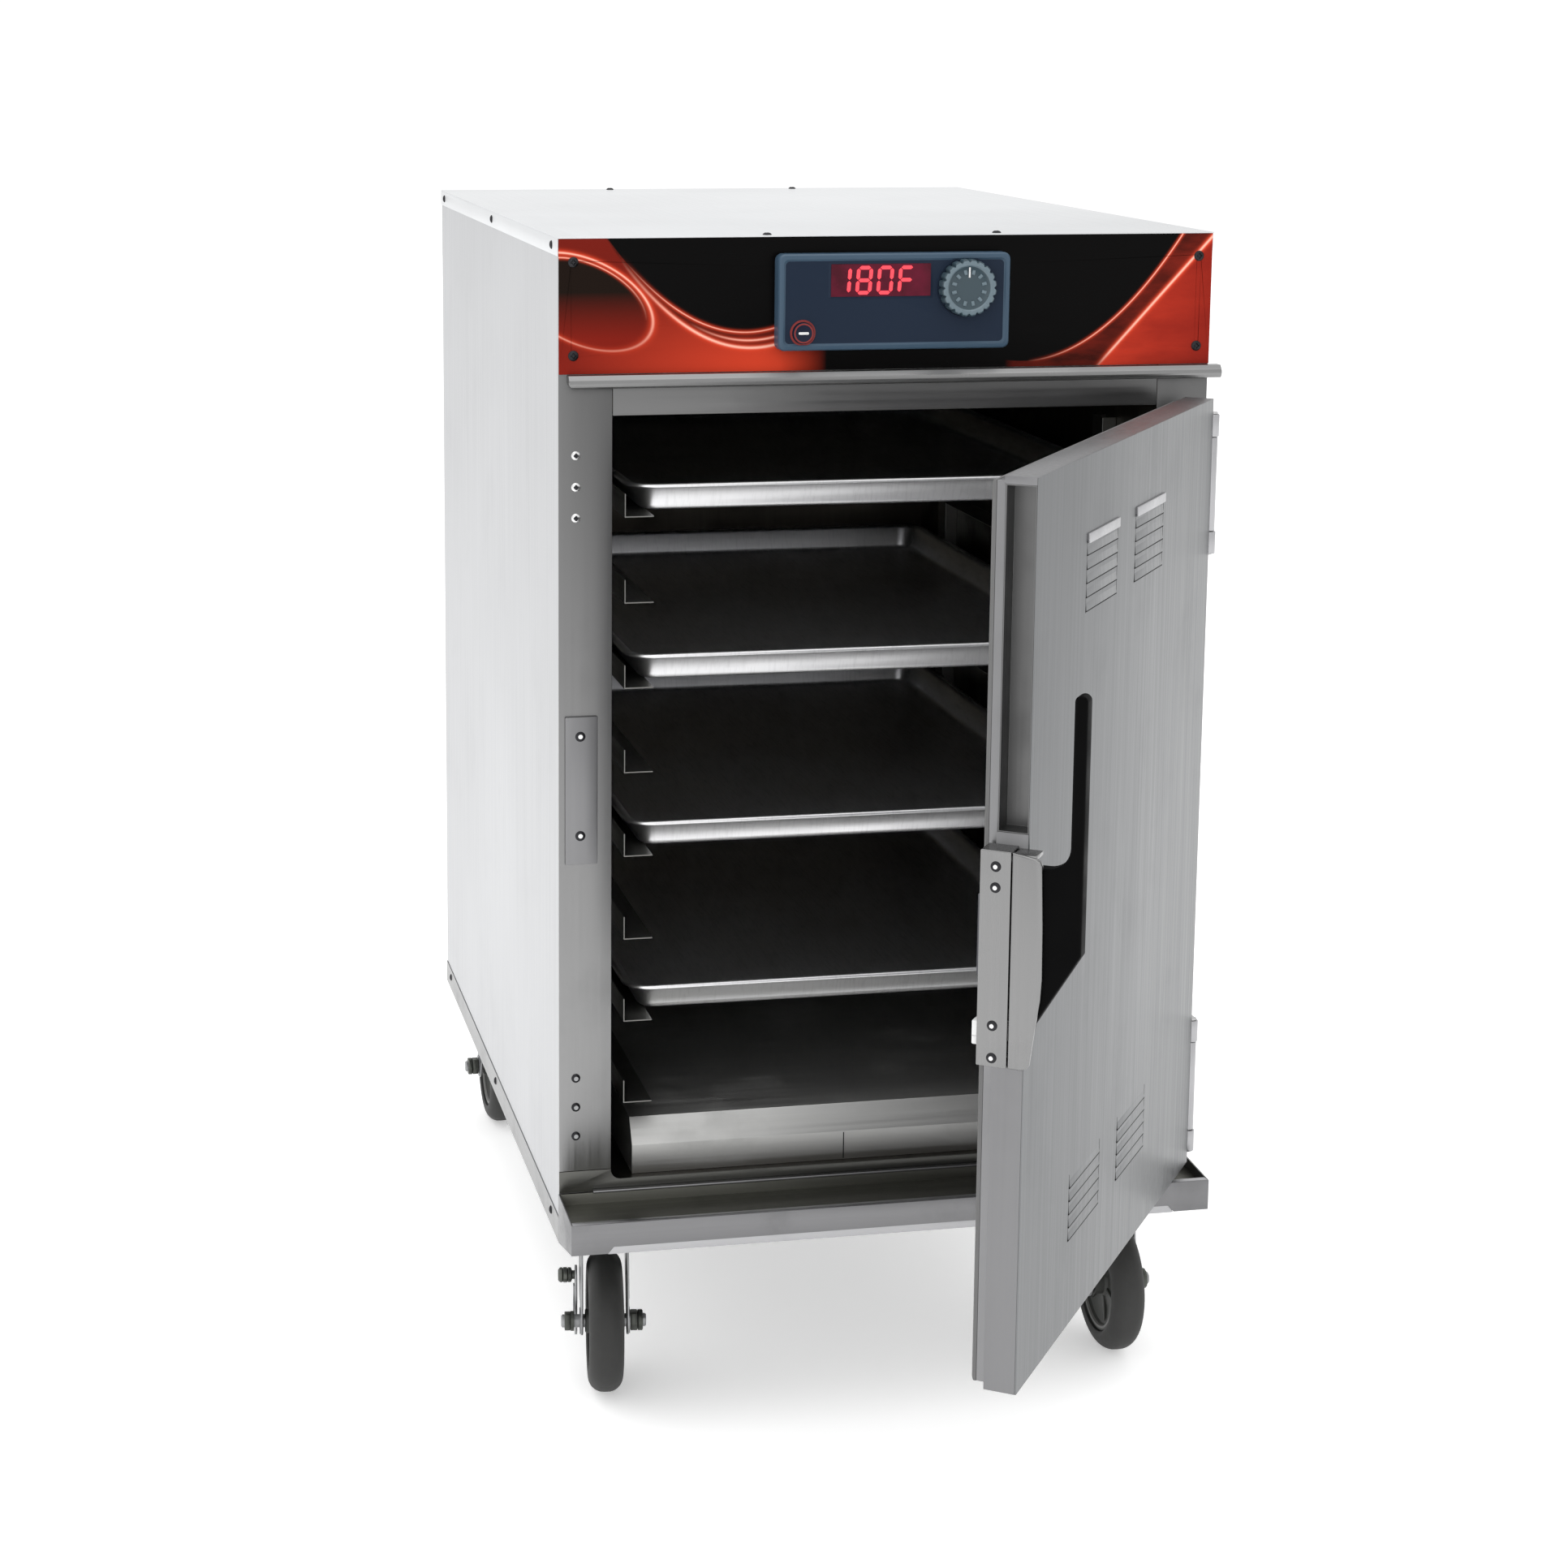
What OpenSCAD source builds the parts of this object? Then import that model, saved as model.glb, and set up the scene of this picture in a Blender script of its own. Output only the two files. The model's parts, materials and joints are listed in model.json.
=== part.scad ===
// Half-height mobile heated holding cabinet with a right-hinged door, four sheet pans and casters.
// Millimetres, +Z up, +X to the right of a person who faces the door, +Y towards the back.

/* [Cabinet] */
// Width of the cabinet body
body_w = 590; // [586:1:600]
// Depth of the cabinet body, without the front shelf
body_d = 780; // [770:5:820]
// Height of the top cover above the floor
body_top = 1058; // [1056:1:1070]
// Width of each front stile
stile_w = 48; // [46:1:50]
// Height of the upper edge of the door opening
opening_top = 904.5; // [900:0.5:906]
// Height of the seam between the stiles and the lower rail
opening_bottom = 222; // [218:1:226]

/* [Base] */
// Height of the underside of the base
base_bottom = 156.5; // [156.5:0.5:160]
// Height of the top of the base
base_top = 202.5; // [200:0.5:204]
// How far the front shelf stands out from the body
shelf_out = 70; // [50:5:90]

/* [Door] */
// Angle of the door from closed, as drawn
door_open = 55; // [0:5:170]
// Width of the door
door_w = 532; // [526:1:534]
// Lower edge of the door
door_bottom = 207.7; // [206:0.1:212]
// Upper edge of the door
door_top = 914.4; // [910:0.1:920]

/* [Shelving] */
// Number of slide pairs
slide_count = 8; // [4:1:8]
// Height between two slide pairs
slide_pitch = 76.2; // [76:0.1:77]
// Height of the top ledge
top_ledge = 814.8; // [812:0.1:820]

/* [Casters] */
// Wheel diameter
wheel_d = 127; // [120:1:127]
// Tread width of a wheel
tread_w = 32; // [28:1:34]
// Distance from the swivel axis to the wheel axis
trail = 38; // [34:1:40]

/* [Controls] */
// Diameter of the control knob
knob_d = 50; // [44:1:54]
// Diameter of the power button
button_d = 18; // [16:1:20]

/* [Hidden] */

$fn = 48;
half_w = body_w / 2;
sheet = 1;
seam = 0.2;
// Middle of the floor area that the cabinet covers with its door drawn open
origin_x = 2.5;
origin_y = 144.5;

// Front face of the frame is y = 0; the fascia lies on it
fascia_t = 1.5;
canopy_bottom = 929;
canopy_top = 941;
stile_x = half_w - 1;
opening_x = half_w - stile_w;
frame_t = 2;

// Liner, outside of which the insulation lies
liner_t = 0.8;
liner_x = opening_x + 0.5;
liner_floor = 209;
liner_ceiling = 906;
liner_back = 738;

// Side strips and flanges of the base
strip_top = 180;
flange_in = 188;
flange_t = 2.5;

// Slides: ledge, and the leg on the wall side
ledge_in = 208;
leg_x = 233;
leg_t = 1.2;
leg_h = 20;
slide_front = 10;
slide_back = 722;

// Full-size sheet pan
pan_w = 457.2;
pan_l = 660.4;
pan_h = 25.4;
pan_front = 25;
pan_rim = 7;
pan_t = 1.2;
pan_ledges = [0, 2, 4, 6];

// Hinge pin and the door around it; the door's own x is 0 at the pin and falls towards the free edge
pin_x = 286;
pin_y = -36;
pin_r = 3;
door_edge = -6.5;
door_free = door_edge - door_w;
door_face = -2;
shell_back = 24;
door_back = 35.5;
hinge_z = [775, 217];
hinge_h = 125;
ear_h = 20;
ear_r = 6;
barrel_r = 5;
running = 0.05;

// Latch on the free edge
latch_bottom = 473;
latch_top = 639;
latch_out = door_free - 20.5;
latch_split = 6;
latch_inner = 29.5;
lever_y = -4;
lever_z = 560;
lever_x0 = door_free - 17.5;
lever_x1 = door_free - 3;

// Louvres on the door
vent_w = 92;
vent_h = 55;
vent_count = 5;
vent_x = [-361, -218];
vent_z = [792, 281];

// Controls
box_x0 = -105;
box_x1 = 103;
box_z0 = 959.4;
box_z1 = 1043;
box_out = 15;
box_r = 6;
box_wall = 2;
box_front = -fascia_t - box_out;
window_x0 = -58.5;
window_x1 = 30.5;
window_z0 = 1006;
window_z1 = 1034;
knob_x = 62.4;
knob_z = 1013;
button_x = -83;
button_z = 975;

// Casters: swivel axis, and the heading of the wheel behind it
pivot_x = 241;
pivot_front = 72;
pivot_rear = 708;
heading = [-8, 0, 180, 180];
plate_t = 3.5;
plate_half = 52;
bolt_half = 42;
fork_in = 20;
fork_t = 3;
axle_z = wheel_d / 2;
axle_r = 6;
hub_r = 11;
core_r = 46;
brake_z = 99;
brake_y = -16;

// Everything is drawn in the cabinet's own frame and moved to the origin once
module place() {
  translate([-origin_x, -origin_y, 0]) children();
}

module block(x0, x1, y0, y1, z0, z1) {
  translate([x0, y0, z0]) cube([x1 - x0, y1 - y0, z1 - z0]);
}

module both_sides() {
  children();
  mirror([1, 0, 0]) children();
}

// Rounded rectangle made of straight bars and true circles
module rounded(x0, x1, y0, y1, r) {
  union() {
    translate([x0 + r, y0]) square([x1 - x0 - 2 * r, y1 - y0]);
    translate([x0, y0 + r]) square([x1 - x0, y1 - y0 - 2 * r]);
    for (x = [x0 + r, x1 - r], y = [y0 + r, y1 - r]) translate([x, y]) circle(r);
  }
}

// An outline drawn in (y, z), extruded along x
module along_x(x0, x1) {
  translate([x0, 0, 0]) rotate([90, 0, 90]) linear_extrude(x1 - x0) children();
}

// An outline drawn in (x, z), extruded along y
module along_y(y0, y1) {
  translate([0, y1, 0]) rotate([90, 0, 0]) linear_extrude(y1 - y0) children();
}

// A round bar along x or y
module bar_x(x0, x1, y, z, r) {
  translate([x0, y, z]) rotate([0, 90, 0]) cylinder(h = x1 - x0, r = r);
}

module bar_y(y0, y1, x, z, r) {
  translate([x, y0, z]) rotate([-90, 0, 0]) cylinder(h = y1 - y0, r = r);
}

function arc(cx, cy, r, a0, a1, n) = [for (i = [0:n]) [
  cx + r * cos(a0 + (a1 - a0) * i / n), cy + r * sin(a0 + (a1 - a0) * i / n)]];

// ---- Base ----

module base_rail() {
  union() {
    block(-half_w, -stile_x, 0, body_d, base_bottom, strip_top);
    block(-stile_x, -flange_in, 2, body_d - 2, base_bottom, base_bottom + flange_t);
    block(-flange_in - 2, -flange_in, 2, body_d - 2, base_bottom + flange_t, base_top - 2 - seam);
  }
}

module base_rail_drilled(pivots) {
  difference() {
    base_rail();
    for (y = pivots, dx = [-bolt_half, bolt_half], dy = [-bolt_half, bolt_half])
      translate([-pivot_x + dx, y + dy, base_bottom - 1]) cylinder(h = flange_t + 2, r = 4.2);
  }
}

module base_frame() {
  color("silver") place() {
    base_rail_drilled([pivot_front, pivot_rear]);
    mirror([1, 0, 0]) base_rail_drilled([pivot_front, pivot_rear]);
    block(-stile_x + 1 + seam, stile_x - 1 - seam, 2, body_d - 2, base_top - 2, base_top);
    block(-flange_in + seam, flange_in - seam, body_d - 4, body_d - 2, base_bottom, base_top - 2 - seam);
    block(-flange_in + seam, flange_in - seam, 2, 4, base_bottom, base_top - 2 - seam);
  }
}

shelf_floor = 192;
shelf_top = 200;
face_low = 172;
face_high = 178;
lip_inset = 33;

// Tapered end plate in (y, z)
end_plate = [[-seam, base_bottom], [-seam, base_top], [-shelf_out + 1.5, shelf_top],
  [-shelf_out + 1.5, face_low]];
// Front face in (x, z), cut back between its two ends
shelf_face = [[-half_w, shelf_top], [-half_w, face_low], [-half_w + lip_inset, face_low],
  [-half_w + lip_inset + 5, face_high], [half_w - lip_inset - 5, face_high], [half_w - lip_inset, face_low],
  [half_w, face_low], [half_w, shelf_top]];

module front_shelf() {
  color("gray") place() {
    union() {
      along_y(-shelf_out, -shelf_out + 1.5) polygon(shelf_face);
      block(-half_w, half_w, -shelf_out + 1.5, -shelf_out + 8, shelf_top - 1.5, shelf_top);
      block(-half_w, half_w, -shelf_out + 1.5, -seam, shelf_floor - 1.5, shelf_floor);
      for (x = [-half_w, half_w - 1.5]) along_x(x, x + 1.5) polygon(end_plate);
      block(-half_w + 1.5, half_w - 1.5, -2 - seam, -seam, base_bottom, base_top - seam);
      // Stiffening lip behind the lower edge of the face
      along_y(-shelf_out + 1.5, -shelf_out + 3) polygon([
        [-half_w + lip_inset, face_low - 1], [-half_w + lip_inset + 6, face_high + 4],
        [half_w - lip_inset - 6, face_high + 4], [half_w - lip_inset, face_low - 1]]);
      block(-half_w + lip_inset, half_w - lip_inset, -shelf_out + 3, -shelf_out + 14,
        face_low - 1, face_low + 0.5);
    }
  }
}

// ---- Cabinet shells ----

side_inner = stile_x - sheet;

module side_panel() {
  difference() {
    block(-stile_x, -side_inner, frame_t, body_d - sheet, strip_top - 15, body_top - 2);
    for (y = [40, 390, 740]) bar_x(-stile_x - 1, -side_inner + 1, y, strip_top - 8, 1.8);
  }
}

module left_side_panel() {
  color("gainsboro") place() side_panel();
}

module right_side_panel() {
  color("gainsboro") place() mirror([1, 0, 0]) side_panel();
}

gland_x = -200;
gland_z = 1000;

module back_panel() {
  color("silver") place() difference() {
    block(-side_inner, side_inner, body_d - 2 * sheet, body_d - sheet, base_top, body_top - 2);
    bar_y(body_d - 5, body_d + 1, gland_x, gland_z, 8.2);
    // Cooling slots for the control space
    for (i = [-4:4]) block(40 + i * 22, 52 + i * 22, body_d - 5, body_d + 1, 975, 1025);
  }
}

cover_flange = 16;
cover_screw_y = [30, 390, 750];
cover_screw_x = [-109, 98];

module top_cover() {
  color("white") place() union() {
    difference() {
      block(-half_w, half_w, -fascia_t - 0.5, body_d, body_top - sheet, body_top);
      for (x = cover_screw_x, y = [12, body_d - 14])
        translate([x, y, body_top - 3]) cylinder(h = 4, r = 1.8);
    }
    both_sides() block(-half_w, -stile_x, 0, body_d, body_top - cover_flange, body_top - sheet);
    block(-stile_x, stile_x, body_d - sheet, body_d, body_top - cover_flange, body_top - sheet);
  }
}

// Upper edge of the lower rail, and the radius at its ends
rail_top = 213;
rail_r = 9;

module front_frame() {
  color("darkgray") place() {
    // Stiles run up behind the fascia and carry it
    difference() {
      block(-stile_x, -opening_x, 0, frame_t, opening_bottom + 1, body_top - 2);
      for (z = [1037, 957]) bar_y(-1, frame_t + 1, -281.5, z, 2);
      for (z = [623, 533.5]) bar_y(-1, frame_t + 1, -275.5, z, 2);
    }
    difference() {
      block(opening_x, stile_x, 0, frame_t, opening_bottom + 1, body_top - 2);
      for (z = [1037, 957]) bar_y(-1, frame_t + 1, 281.5, z, 2);
    }
    block(-opening_x + seam, opening_x - seam, 0, frame_t, opening_top, canopy_top - 1);
    // Lower rail, whose ends turn up to round the opening's lower corners
    along_y(0, frame_t) difference() {
      translate([-stile_x, base_top]) square([2 * stile_x, opening_bottom + 1 - seam - base_top]);
      rounded(-opening_x, opening_x, rail_top, rail_top + 60, rail_r);
    }
    // Folded sill lip above the shelf
    block(-264, 264, -6, -seam, base_top, base_top + 2.5);
  }
}

canopy_out = 14;

module canopy() {
  color("lightgray") place() difference() {
    along_x(-287, 302) polygon(concat(
      [[-seam, canopy_bottom + 2], [-seam, canopy_top - 0.5], [-canopy_out + 4, canopy_top - 0.5]],
      arc(-canopy_out + 5, canopy_bottom + 5, 5, 130, 270, 8), [[-canopy_out + 9, canopy_bottom + 2]]));
    // Rounded lower left end
    translate([-287, 0, canopy_bottom]) rotate([90, 0, 0]) linear_extrude(60, center = true)
      difference() {
        translate([-1, -1]) square([7, 7]);
        translate([6, 6]) circle(6);
      }
  }
}

module control_fascia() {
  color("black") place() difference() {
    union() {
      block(-stile_x, stile_x, -fascia_t, 0, canopy_top, body_top - sheet);
      block(-opening_x + 1, opening_x - 1, 0, 9, body_top - 3.2, body_top - 2);
    }
    for (x = [-281.5, 281.5], z = [1037, 957]) bar_y(-3, 3, x, z, 2);
    // Opening behind the controller
    block(box_x0 + 12, box_x1 - 12, -3, 3, box_z0 + 12, box_z1 - 12);
  }
}

module compartment_floor() {
  color("silver") place()
    block(-side_inner, side_inner, frame_t, body_d - 2 * sheet, canopy_top - 1, canopy_top);
}

// ---- Heated cavity ----

module cabinet_liner() {
  color("dimgray") place() {
    both_sides() block(-liner_x - liner_t, -liner_x, frame_t, liner_back, liner_floor, liner_ceiling);
    block(-liner_x - liner_t, liner_x + liner_t, frame_t, liner_back, liner_ceiling + seam,
      liner_ceiling + seam + liner_t);
    block(-liner_x - liner_t, liner_x + liner_t, frame_t, liner_back, liner_floor - seam - liner_t,
      liner_floor - seam);
    block(-liner_x - liner_t, liner_x + liner_t, liner_back + seam, liner_back + seam + liner_t,
      liner_floor - seam - liner_t, liner_ceiling + seam + liner_t);
  }
}

wool_gap = 0.4;
wool_x = liner_x + liner_t + wool_gap;
wool_back = liner_back + seam + liner_t + wool_gap;
wool_top = liner_ceiling + seam + liner_t + wool_gap;

module wall_insulation() {
  color("khaki") place() {
    both_sides() block(-side_inner + wool_gap, -wool_x, 4, wool_back - wool_gap, base_top + 1, wool_top);
    block(-side_inner + wool_gap, side_inner - wool_gap, wool_back, body_d - 2 * sheet - wool_gap,
      base_top + 1, wool_top);
    block(-side_inner + wool_gap, side_inner - wool_gap, 4, body_d - 2 * sheet - wool_gap,
      wool_top + wool_gap, canopy_top - 1 - wool_gap);
    block(-wool_x + wool_gap, wool_x - wool_gap, 4, wool_back - wool_gap, base_top + 0.6,
      liner_floor - seam - liner_t - wool_gap);
  }
}

// Upright channels that carry the slides, open towards the liner
post_y = [105, 600];

module rack_posts() {
  color("silver") place() both_sides()
    for (y = post_y) difference() {
      block(-liner_x, -leg_x - leg_t, y, y + 28, 262, 880);
      block(-liner_x - 1, -leg_x - leg_t - 1.5, y + 1.5, y + 26.5, 261, 881);
    }
}

module pan_slide(z) {
  union() {
    block(-leg_x - leg_t, -ledge_in, slide_front, slide_back, z - leg_t, z);
    block(-leg_x - leg_t, -leg_x, slide_front, slide_back, z, z + leg_h);
  }
}

module pan_slides() {
  color("lightgray") place() both_sides()
    for (k = [0:slide_count - 1]) pan_slide(top_ledge - k * slide_pitch);
}

heater_x = 224;
heater_front = 20;
heater_back = 700;
heater_top = 258;
bevel = 14;

module heater_cover() {
  color("lightgray") place() difference() {
    along_x(-heater_x, heater_x) polygon([
      [heater_front, liner_floor], [heater_front, heater_top - bevel - 8],
      [heater_front + bevel, heater_top], [heater_back - bevel, heater_top],
      [heater_back, heater_top - bevel - 8], [heater_back, liner_floor]]);
    along_x(-heater_x + 1.2, heater_x - 1.2) polygon([
      [heater_front + 1.2, liner_floor - 1], [heater_front + 1.2, heater_top - bevel - 9],
      [heater_front + bevel + 1, heater_top - 1.2], [heater_back - bevel - 1, heater_top - 1.2],
      [heater_back - 1.2, heater_top - bevel - 9], [heater_back - 1.2, liner_floor - 1]]);
    // Warm air leaves through slots at the back
    for (i = [-5:5]) block(i * 32 - 10, i * 32 + 10, heater_back - 60, heater_back - 50,
      heater_top - 5, heater_top + 1);
  }
}

element_r = 4;
element_z = 228;

module heating_element() {
  color("dimgray") place() {
    // A serpentine with both terminals at the back
    union() {
      for (x = [-150, 150]) bar_y(180, 661, x, element_z, element_r);
      for (x = [-50, 50]) bar_y(180, 560, x, element_z, element_r);
      for (x = [-100, 100]) translate([x, 180, element_z]) element_bend(50, 180);
      translate([0, 560, element_z]) element_bend(50, 0);
    }
    // Supports
    for (y = [230, 480]) difference() {
      block(-170, 170, y, y + 3, liner_floor, element_z + 8);
      for (x = [-150, -50, 50, 150]) bar_y(y - 1, y + 4, x, element_z, element_r + 0.3);
    }
  }
}

// Half turn of the heating element
module element_bend(r, turn) {
  rotate([0, 0, turn]) rotate_extrude(angle = 180) translate([r, 0]) circle(element_r);
}

probe_x = 190;
probe_z = 888;

module temperature_probe() {
  color("silver") place() union() {
    bar_y(liner_back - 90, liner_back, probe_x, probe_z, 3);
    bar_y(liner_back - 4, liner_back, probe_x, probe_z, 9);
  }
}

// ---- Control space ----

module controller_housing() {
  color("slategray") place() difference() {
    along_y(box_front, -fascia_t) rounded(box_x0, box_x1, box_z0, box_z1, box_r);
    along_y(box_front + box_wall, 0)
      rounded(box_x0 + box_wall, box_x1 - box_wall, box_z0 + box_wall, box_z1 - box_wall, box_r - box_wall);
    block(window_x0, window_x1, box_front - 1, 0, window_z0, window_z1);
    bar_y(box_front - 1, 0, knob_x, knob_z, 4);
    bar_y(box_front - 1, 0, button_x, button_z, button_d / 2 - 1 + 0.3);
  }
}

module display_window() {
  color("maroon") place()
    block(window_x0, window_x1, box_front + 0.4, box_front + box_wall, window_z0, window_z1);
}

module control_board() {
  color("darkgreen") place() {
    block(box_x0 + 14, box_x1 - 14, -6, -4.4, box_z0 + 14, box_z1 - 14);
    block(window_x0 + 2, window_x1 - 2, box_front + box_wall + 0.3, -6, window_z0 - 1, window_z1 - 2);
    difference() {
      block(knob_x - 8, knob_x + 8, -13, -6, knob_z - 8, knob_z + 8);
      bar_y(-20, -7, knob_x, knob_z, 3 + running);
    }
    block(button_x - 5, button_x + 5, -9.5, -6, button_z - 1, button_z + 7);
  }
}

module relay_box() {
  color("gray") place() {
    block(-150, -90, 120, 200, canopy_top, canopy_top + 45);
    block(-60, 40, 140, 165, canopy_top, canopy_top + 22);
    block(80, 190, 110, 230, canopy_top, canopy_top + 40);
  }
}

module cord_gland() {
  color("black") place() difference() {
    union() {
      bar_y(body_d - 14, body_d + 12, gland_x, gland_z, 8);
      translate([gland_x, body_d - sheet, gland_z]) rotate([-90, 0, 0]) cylinder(h = 7, r = 13, $fn = 6);
      translate([gland_x, body_d - 9, gland_z]) rotate([-90, 0, 0]) cylinder(h = 7, r = 12, $fn = 6);
    }
    bar_y(body_d - 20, body_d + 20, gland_x, gland_z, 5);
  }
}

// ---- Fasteners of the cabinet ----

module screw_y(x, y, z, r, h) {
  union() {
    bar_y(y - h, y, x, z, r);
    bar_y(y, y + 9, x, z, 1.6);
  }
}

module cabinet_screws() {
  color("black") place() {
    for (x = [-281.5, 281.5], z = [1037, 957]) screw_y(x, -fascia_t, z, 4.5, 2);
    for (z = [870.5, 843, 816, 310, 283, 256]) bar_y(-1.8, 0, -279, z, 4);
    for (x = cover_screw_x, y = [12, body_d - 14]) translate([x, y, body_top]) union() {
      cylinder(h = 2, r = 4);
      translate([0, 0, -8]) cylinder(h = 8, r = 1.6);
    }
    both_sides() for (y = cover_screw_y) bar_x(-half_w - 1.8, -half_w, y, body_top - 8, 3.8);
    both_sides() for (y = [40, 390, 740]) bar_x(-half_w - 1.8, -half_w, y, strip_top - 8, 3.8);
  }
}

module strike_plate() {
  color("silver") place() {
    difference() {
      block(-289, -260, -3, 0, 507.5, 640.5);
      for (z = [623, 533.5]) bar_y(-4, 1, -275.5, z, 2);
    }
    for (z = [623, 533.5]) union() {
      bar_y(-4, -3, -275.5, z, 4.5);
      bar_y(-3, 3.4, -275.5, z, 1.6);
    }
  }
}

// ---- Hinges on the cabinet ----

module hinge_ear(z) {
  difference() {
    union() {
      translate([pin_x, pin_y, z]) cylinder(h = ear_h, r = ear_r);
      block(pin_x - 4.5, pin_x + ear_r, pin_y, -4, z, z + ear_h);
    }
    translate([pin_x, pin_y, z - 1]) cylinder(h = ear_h + 2, r = pin_r + running);
  }
}

module hinge_brackets() {
  color("silver") place() for (z = hinge_z) union() {
    block(pin_x - 4.5, stile_x, -4, 0, z, z + hinge_h);
    hinge_ear(z);
    hinge_ear(z + hinge_h - ear_h);
  }
}

module hinge_pins() {
  color("silver") place() for (z = hinge_z) union() {
    translate([pin_x, pin_y, z - 1]) cylinder(h = hinge_h + 2, r = pin_r);
    translate([pin_x, pin_y, z + hinge_h + 0.2]) cylinder(h = 1.6, r = 4.5);
  }
}

// ---- Door ----

module on_door() {
  place() translate([pin_x, pin_y, 0]) rotate([0, 0, door_open]) children();
}

channel_y0 = -0.8;
channel_y1 = 23;
channel_deep = 20;
channel_z0 = 648;

module louvre(x, z) {
  along_x(x - vent_w / 2 + 3, x + vent_w / 2 - 3)
    polygon([[door_face, z], [door_face - 2.2, z], [door_face - 2.2, z + 0.9], [door_face, z + 8]]);
}

module door_shell() {
  shell_t = 1.2;
  color("silver") on_door() union() {
    difference() {
      block(door_free, door_edge, door_face, shell_back, door_bottom, door_top);
      block(door_free + shell_t, door_edge - shell_t, door_face + shell_t, shell_back + 1,
        door_bottom + shell_t, door_top - shell_t);
      // Room for the channel in the free edge
      block(door_free - 1, door_free + 3, channel_y0, channel_y1, channel_z0, door_top - 6);
      for (z = hinge_z, dz = [40, 85]) bar_x(door_edge - 2, door_edge + 1, 18, z + dz, 2.1);
      for (x = vent_x, z = vent_z, i = [0:vent_count - 1])
        block(x - vent_w / 2 + 4, x + vent_w / 2 - 4, door_face - 1, door_face + shell_t + 1,
          z + i * vent_h / vent_count + 1.5, z + i * vent_h / vent_count + 5);
    }
    for (x = vent_x, z = vent_z, i = [0:vent_count - 1]) louvre(x, z + i * vent_h / vent_count + 0.6);
  }
}

liner_in = 4;

module door_liner() {
  color("gray") on_door() difference() {
    block(door_free + liner_in, door_edge - liner_in, shell_back, 31.2,
      door_bottom + liner_in, door_top - liner_in);
    block(door_free + liner_in + 1.2, door_edge - liner_in - 1.2, shell_back - 1, 30,
      door_bottom + liner_in + 1.2, door_top - liner_in - 1.2);
  }
}

module door_insulation() {
  color("khaki") on_door()
    block(door_free + channel_deep + 4, door_edge - 6, 2, 29.5, door_bottom + 6, door_top - 6);
}

gasket_w = 14;

module door_gasket() {
  color("dimgray") on_door() difference() {
    block(door_free + liner_in, door_edge - liner_in, 31.2, door_back,
      door_bottom + liner_in, door_top - liner_in);
    block(door_free + liner_in + gasket_w, door_edge - liner_in - gasket_w, 30, door_back + 1,
      door_bottom + liner_in + gasket_w, door_top - liner_in - gasket_w);
  }
}

module door_edge_channel() {
  color("dimgray") on_door() difference() {
    block(door_free, door_free + channel_deep, channel_y0, channel_y1, channel_z0, door_top - 6);
    block(door_free - 1, door_free + channel_deep - 1, channel_y0 + 1, channel_y1 - 1,
      channel_z0 + 1, door_top - 7);
  }
}

leaf_end = 0.5;

module hinge_leaves() {
  color("silver") on_door() for (z = hinge_z) difference() {
    union() {
      translate([0, 0, z + ear_h + leaf_end]) cylinder(h = hinge_h - 2 * ear_h - 2 * leaf_end, r = barrel_r);
      block(door_edge, -3.5, 0, 28, z + ear_h + leaf_end, z + hinge_h - ear_h - leaf_end);
      block(door_edge, 0, -1.5, 1.5, z + ear_h + leaf_end, z + hinge_h - ear_h - leaf_end);
    }
    translate([0, 0, z]) cylinder(h = hinge_h, r = pin_r + running);
    for (dz = [40, 85]) bar_x(door_edge - 1, 0, 18, z + dz, 2.2);
  }
}

module door_screws() {
  color("dimgray") on_door() {
    for (z = hinge_z, dz = [40, 85]) union() {
      bar_x(-3.5, -1.7, 18, z + dz, 4);
      bar_x(-12, -3.5, 18, z + dz, 1.9);
    }
    for (z = [627, 611, 505, 480]) bar_x(latch_out - 1.6, latch_out, 17.5, z, 4);
  }
}

// ---- Latch ----

module latch_body() {
  color("silver") on_door() difference() {
    block(latch_out, door_free, latch_split, latch_inner, latch_bottom, latch_top);
    // Pocket of the magnet
    block(latch_out + 3, door_free - 3, latch_inner - 8, latch_inner + 1, 542, 604);
    // Way through for the kick-off toe, and room above it for the lever to swing
    block(lever_x0 - 0.8, lever_x1 + 0.8, latch_split - 1, latch_inner + 1, 482, 526);
    block(lever_x0 - 0.8, lever_x1 + 0.8, latch_split - 1, 13.5, 525, 564);
  }
}

module latch_magnet() {
  color("dimgray") on_door()
    block(latch_out + 3, door_free - 3, latch_inner - 8, latch_inner + 2, 542, 604);
}

// Outline of the chrome cover in (y, z)
cover_outline = concat([[latch_split - 0.6, latch_top], [-17.6, 632], [-19.6, 541], [-13, 503]],
  arc(-4, 481, 8, 200, 270, 5), [[latch_split - 0.6, latch_bottom]]);

module latch_cover() {
  color("gainsboro") on_door() difference() {
    along_x(latch_out, door_free) polygon(cover_outline);
    // Hollow for the lever, open on its outer side and towards the latch body
    block(latch_out + 1.6, door_free + 1, -30, latch_split, 486, 630.5);
    block(latch_out + 1.6, door_free + 1, 0.5, latch_split, 482, 636);
  }
}

module latch_pin() {
  color("silver") on_door() bar_x(latch_out + 1.6, door_free, lever_y, lever_z, pin_r);
}

// Outline of the lever in (y, z): grip, web, chamfered foot and kick-off toe
grip_out = -47.5;
grip_in = -37.5;
web_top = 628;
grip_top = 760;
toe_y = 35;
lever_outline = concat(
  [[4, web_top]],
  arc(grip_in + 18, web_top + 18, 18, 270, 180, 8),
  arc(grip_in - 5, grip_top - 5, 5, 0, 180, 12),
  [[grip_out, 565], [-13, 506], [-13, 492], [toe_y - 6, 492], [toe_y - 6, 487], [toe_y, 487], [toe_y, 506],
   [4, 506]]);

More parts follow.
